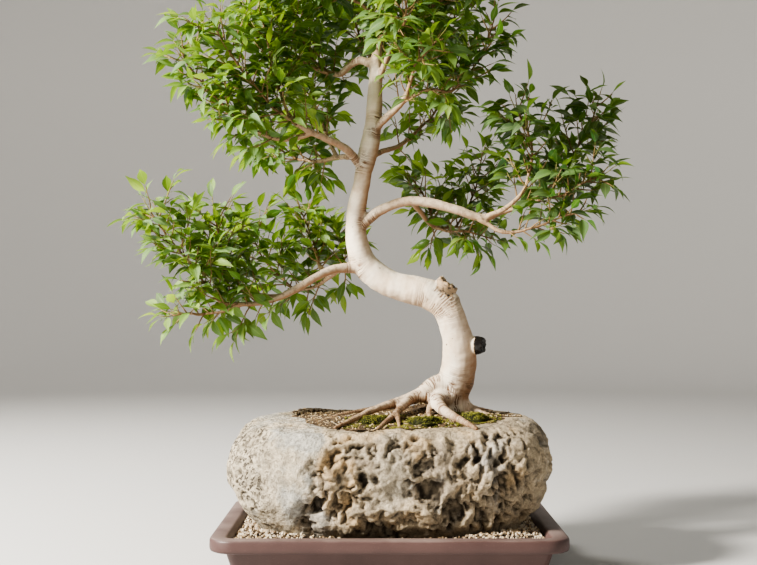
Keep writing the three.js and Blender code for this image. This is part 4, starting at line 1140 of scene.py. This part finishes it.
def leaf_shapes(count, rng):
    """Leaves along +X with their faces up: rows of (points, sheet coordinates) on one face list."""
    shapes = []
    for _ in range(count):
        fold, arch, twist = rng.uniform(0.1, 0.45), rng.uniform(0.25, 1.25), rng.normal(0, 0.3)
        wave, phase, broad = rng.uniform(0.2, 0.8), rng.uniform(0, 6.3), rng.uniform(0.85, 1.15)
        slope, x, z, last = rng.uniform(0, 0.3), 0.0, 0.0, -STALK_SHARE / (1 - STALK_SHARE)
        points, sheet = [], []
        for share, breadth in BLADE_OUTLINE:
            step = (share - last) * (1 - STALK_SHARE) * LEAF_LENGTH
            slope -= arch * (share - last) * 0.8
            x += step * math.cos(slope)
            z += step * math.sin(slope)
            last = share
            turn = twist * share
            for a in BLADE_ROW:
                y = LEAF_WIDTH / 2 * broad * breadth * a
                rise = abs(y) * fold + wave * a * a * breadth * math.sin(phase + 7 * share + a)
                points.append((x + 0.12 * rise, y * math.cos(turn) - rise * math.sin(turn),
                               z + y * math.sin(turn) + rise * math.cos(turn)))
                sheet.append(((a + 1) / 2, share))
        shapes.append((np.array(points), np.array(sheet)))
    across = len(BLADE_ROW)
    faces = []
    for i in range(len(BLADE_OUTLINE) - 1):
        for k in range(across - 1):
            a = across * i + k
            faces.append((a, a + 1, a + across + 1, a + across))
    return shapes, np.array(faces)


def leaf_green():
    """Satin green with paler veins, matt below, and lit through when the light is behind it."""
    material, finish = new_finish("leaf green")
    sheet = finish.add("UVMap", uv_map="blade").outputs["UV"]
    flat = finish.add("SeparateXYZ", {"Vector": sheet}).outputs
    base = finish.colours(finish.stored("tone"), [
        (0, (0.01, 0.04, 0.012)), (0.35, (0.026, 0.095, 0.015)), (0.65, (0.095, 0.225, 0.024)),
        (1, (0.33, 0.46, 0.06))])
    clouds = finish.noise(finish.place(), 45)
    varied = finish.mix(finish.share(clouds, 0.52, 0.66, 0, 0.45), base, (0.03, 0.12, 0.045))
    # the midrib, the pale margin (a paler rim and painted rim light), and side veins that run from the
    # midrib towards edge and tip
    aside = finish.reckon("ABSOLUTE", finish.reckon("SUBTRACT", flat["X"], 0.5))
    rib = finish.share(aside, 0.07, 0.02)
    lit_margin = finish.share(aside, 0.43, 0.49, 0, 0.6)
    rows = finish.reckon("MULTIPLY", finish.reckon("SUBTRACT", flat["Y"], aside), 62)
    vein = finish.share(finish.reckon("SINE", rows), 0.7, 1, 0, 0.35)
    lines = finish.reckon("MAXIMUM", rib, vein)
    pale = finish.reckon("MULTIPLY", finish.reckon("MAXIMUM", lines, lit_margin), 0.45)
    veined = finish.mix(pale, varied, (0.32, 0.44, 0.12))
    below_side = finish.add("NewGeometry").outputs["Backfacing"]
    matt = finish.mix(finish.reckon("MULTIPLY", below_side, 0.45), veined, (0.2, 0.3, 0.13))
    rough = finish.share(below_side, 0, 1, 0.3, 0.6)
    body = finish.surface(matt, rough, 0.6, lines, 0.35, 0.0003, invert=True)
    lit = finish.mix(0.5, veined, (0.36, 0.52, 0.03))
    glow = finish.add("BsdfTranslucent", {"Color": lit}).outputs["BSDF"]
    both = finish.add("MixShader", {"Fac": 0.4, 1: body.outputs["BSDF"], 2: glow})
    finish.feed(material.node_tree.nodes["Material Output"], {"Surface": both.outputs["Shader"]})
    return material


def unit(v):
    return v / np.linalg.norm(v)


def on_curve(curve, reached, distance):
    """The place on a curve at a distance from its start, and the way it runs there."""
    place = np.array([np.interp(distance, reached, curve[:, i]) for i in range(3)])
    i = int(np.clip(np.searchsorted(reached, distance), 1, len(curve) - 1))
    return place, unit(curve[i, :3] - curve[i - 1, :3])


LEAF_SHAPES, LEAF_FACES = leaf_shapes(18, np.random.default_rng(47))
GREEN = leaf_green()
TWIG = toned("green-brown twig", [(0.17, 0.09, 0.045), (0.26, 0.17, 0.075), (0.2, 0.24, 0.06)],
             0.6, 300, 0.0002)


class Spray:
    """One spray's twigs and leaves, grown by seeded draws."""

    def __init__(self, seed, middle):
        self.rng = np.random.default_rng(seed)
        self.middle = middle
        self.twigs = []
        self.leaves = []

    def leaf(self, place, ahead, hand, young, size):
        rng = self.rng
        aside = unit(np.cross(ahead, UP) + rng.normal(0, 0.1, 3)) * hand
        spread = 0.95 - 0.45 * young
        along = ahead * (0.6 + 0.4 * young if hand else 1) + spread * aside
        along[2] -= rng.uniform(0.15, 0.75) * (1 - 0.75 * young)
        along = unit(unit(along) + rng.normal(0, 0.16, 3))
        outward = unit(place - self.middle) * (1, 1, 0.3)
        face = unit(UP + 0.55 * outward + rng.normal(0, 0.38, 3))
        side = unit(np.cross(face, along))
        tip = (place + along * LEAF_LENGTH * size) * MM
        if np.any(tip < np.array(cad_box[0]) - OVERHANG) or np.any(tip > np.array(cad_box[1]) + OVERHANG):
            return
        # young leaves are lighter; painted shade: those towards the right side are darker
        tone = rng.normal(0.5, 0.23) + 0.3 * young - 0.34 * smooth_step(place[0], 40, 150)
        rows = np.array([along, side, np.cross(along, side)]) * size
        self.leaves.append((place, rows, float(np.clip(tone, 0, 1))))

    def twig(self, start, way, span, lift, radius, depth):
        """A twig that bends as it grows, with leaves in two ranks and, where long, twigs of its own."""
        rng = self.rng
        share = np.linspace(0, 1, TWIG_RINGS)[:, None]
        sway = rng.normal(0, 0.07, 3) * span
        line = start + way * span * share + (UP * lift * span + sway) * share ** 2
        line += np.cross(way, UP) * 0.03 * span * np.sin(6 * share + rng.uniform(0, 6.3))
        curve = np.column_stack([line, np.linspace(radius, 0.45, TWIG_RINGS)])
        self.twigs.append((curve, 0.75 if depth else 0.45, TWIG_SIDES))
        reached = lengths(curve)
        stops = max(3, round(reached[-1] / LEAF_SPACING))
        hand = 1 if rng.random() < 0.5 else -1
        first = 1 if depth else 2
        for k in range(first, stops + 1):
            place, ahead = on_curve(curve, reached, reached[-1] * k / stops)
            young = float(smooth_step(np.array(k / stops), 0.5, 1.0)) * rng.uniform(0.6, 1)
            size = rng.uniform(0.78, 1.06) * (1 - 0.2 * young)
            self.leaf(place, ahead, 0 if k == stops else hand, young, size)
            hand = -hand
        if depth or span < SUB_TWIGS_FROM:
            return
        for part in (rng.uniform(0.3, 0.45), rng.uniform(0.55, 0.7)):
            place, ahead = on_curve(curve, reached, reached[-1] * part)
            hand = -hand
            way = unit(ahead + 0.9 * hand * unit(np.cross(ahead, UP)) + rng.normal(0, 0.22, 3) + 0.2 * UP)
            self.twig(place, way, span * rng.uniform(0.38, 0.55), rng.uniform(-0.1, 0.3), 0.7, 1)


def grow(name, reach, route, seed):
    """The leader along its route, with twigs turned further and further round it."""
    branch = TRUNK if name == "apex" else BRANCHES[name]
    end, before = np.array(branch[-1][:3], float), np.array(branch[-2][:3], float)
    lead = unit(end - before)
    rows = [(*(end - lead), 1.8), (*(end + 7 * lead), 1.6)]
    rows += [(*p, 1.5 - 0.8 * (i + 1) / len(route)) for i, p in enumerate(route)]
    leader = smooth_route(rows, 4)
    grown = Spray(seed, np.array([np.interp(end[2], [340, 720], [-30, -10]), 10, end[2] - 30]))
    grown.twigs.append((leader, 0.2, LEADER_SIDES))
    rng = grown.rng
    # twigs also leave the outer part of the branch that the spray goes on from
    old = smooth_route(branch, 4)
    whole = np.concatenate([old[-min(len(old) // 2, 16):-1, :3], leader[:, :3]])
    reached = lengths(whole)
    own = reached[-1] - lengths(leader)[-1]
    count = max(5, round(reached[-1] / TWIG_SPACING))
    turn = rng.uniform(0, 6.3)
    for i in range(count):
        distance = reached[-1] * (i + 0.3 + 0.5 * rng.random()) / count
        here, ahead = on_curve(whole, reached, distance)
        share = np.clip((distance - own) / (reached[-1] - own), 0, 1)
        turn += TWIG_TURN
        flat = unit(np.cross(ahead, UP))
        across = flat * math.cos(turn) + np.cross(ahead, flat) * math.sin(turn)
        way = unit(0.5 * ahead + 0.85 * across + 0.22 * UP)
        span = reach * rng.uniform(0.42, 0.9) * (1 - 0.35 * share) * (0.75 if distance < own else 1)
        lift = rng.uniform(0.05, 0.35) if way[2] > -0.1 else rng.uniform(-0.2, 0.15)
        if (here + way * span)[2] * MM < cad_box[1][2] - OVERHANG:
            grown.twig(here, way, span, lift, 1.0, 0)
    tip, ahead = leader[-1, :3], unit(leader[-1, :3] - leader[-3, :3])
    grown.twig(tip, ahead, 16, 0.1, 0.65, 1)
    return grown


def spray(name, reach, route, seed):
    grown = grow(name, reach, route, seed)
    points, faces, tones, sheets, start = [], [], [], [], 0
    for place, rows, tone in grown.leaves:
        shape, sheet = LEAF_SHAPES[grown.rng.integers(len(LEAF_SHAPES))]
        points.append(shape @ rows + place)
        faces += (LEAF_FACES + start).tolist()
        tones.append(np.full(len(shape), tone))
        sheets.append(sheet)
        start += len(shape)
        # the stalk ends in the middle of the blade's first row
        stalk = np.array([place, shape[len(BLADE_ROW) // 2] @ rows + place])
        grown.twigs.append((np.column_stack([stalk, [0.4, 0.3]]), 0.9, STALK_SIDES))
    blades = len(faces)
    for curve, tone, sides in grown.twigs:
        rings = tube_rings(curve, sides)
        faces += tube_faces(len(rings), sides, start)
        points += rings
        tones.append(np.full(len(rings) * sides, tone))
        sheets.append(np.zeros((len(rings) * sides, 2)))
        start += len(rings) * sides
    made = link_mesh("leaves_" + name, (np.concatenate(points) * MM).tolist(), faces)
    mesh = made.data
    store(mesh, "tone", np.concatenate(tones))
    corners = np.empty(len(mesh.loops), np.int32)
    mesh.loops.foreach_get("vertex_index", corners)
    layer = mesh.uv_layers.new(name="blade")
    layer.data.foreach_set("uv", np.concatenate(sheets)[corners].ravel())
    mesh.materials.append(GREEN)
    mesh.materials.append(TWIG)
    slots = np.zeros(len(mesh.polygons), np.int32)
    slots[blades:] = 1
    mesh.polygons.foreach_set("material_index", slots)
    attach(made, "root")
    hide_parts("spray_" + name)


for seed, (name, (reach, route)) in enumerate(SPRAYS.items(), FIRST_SEED):
    spray(name, reach, route, seed)
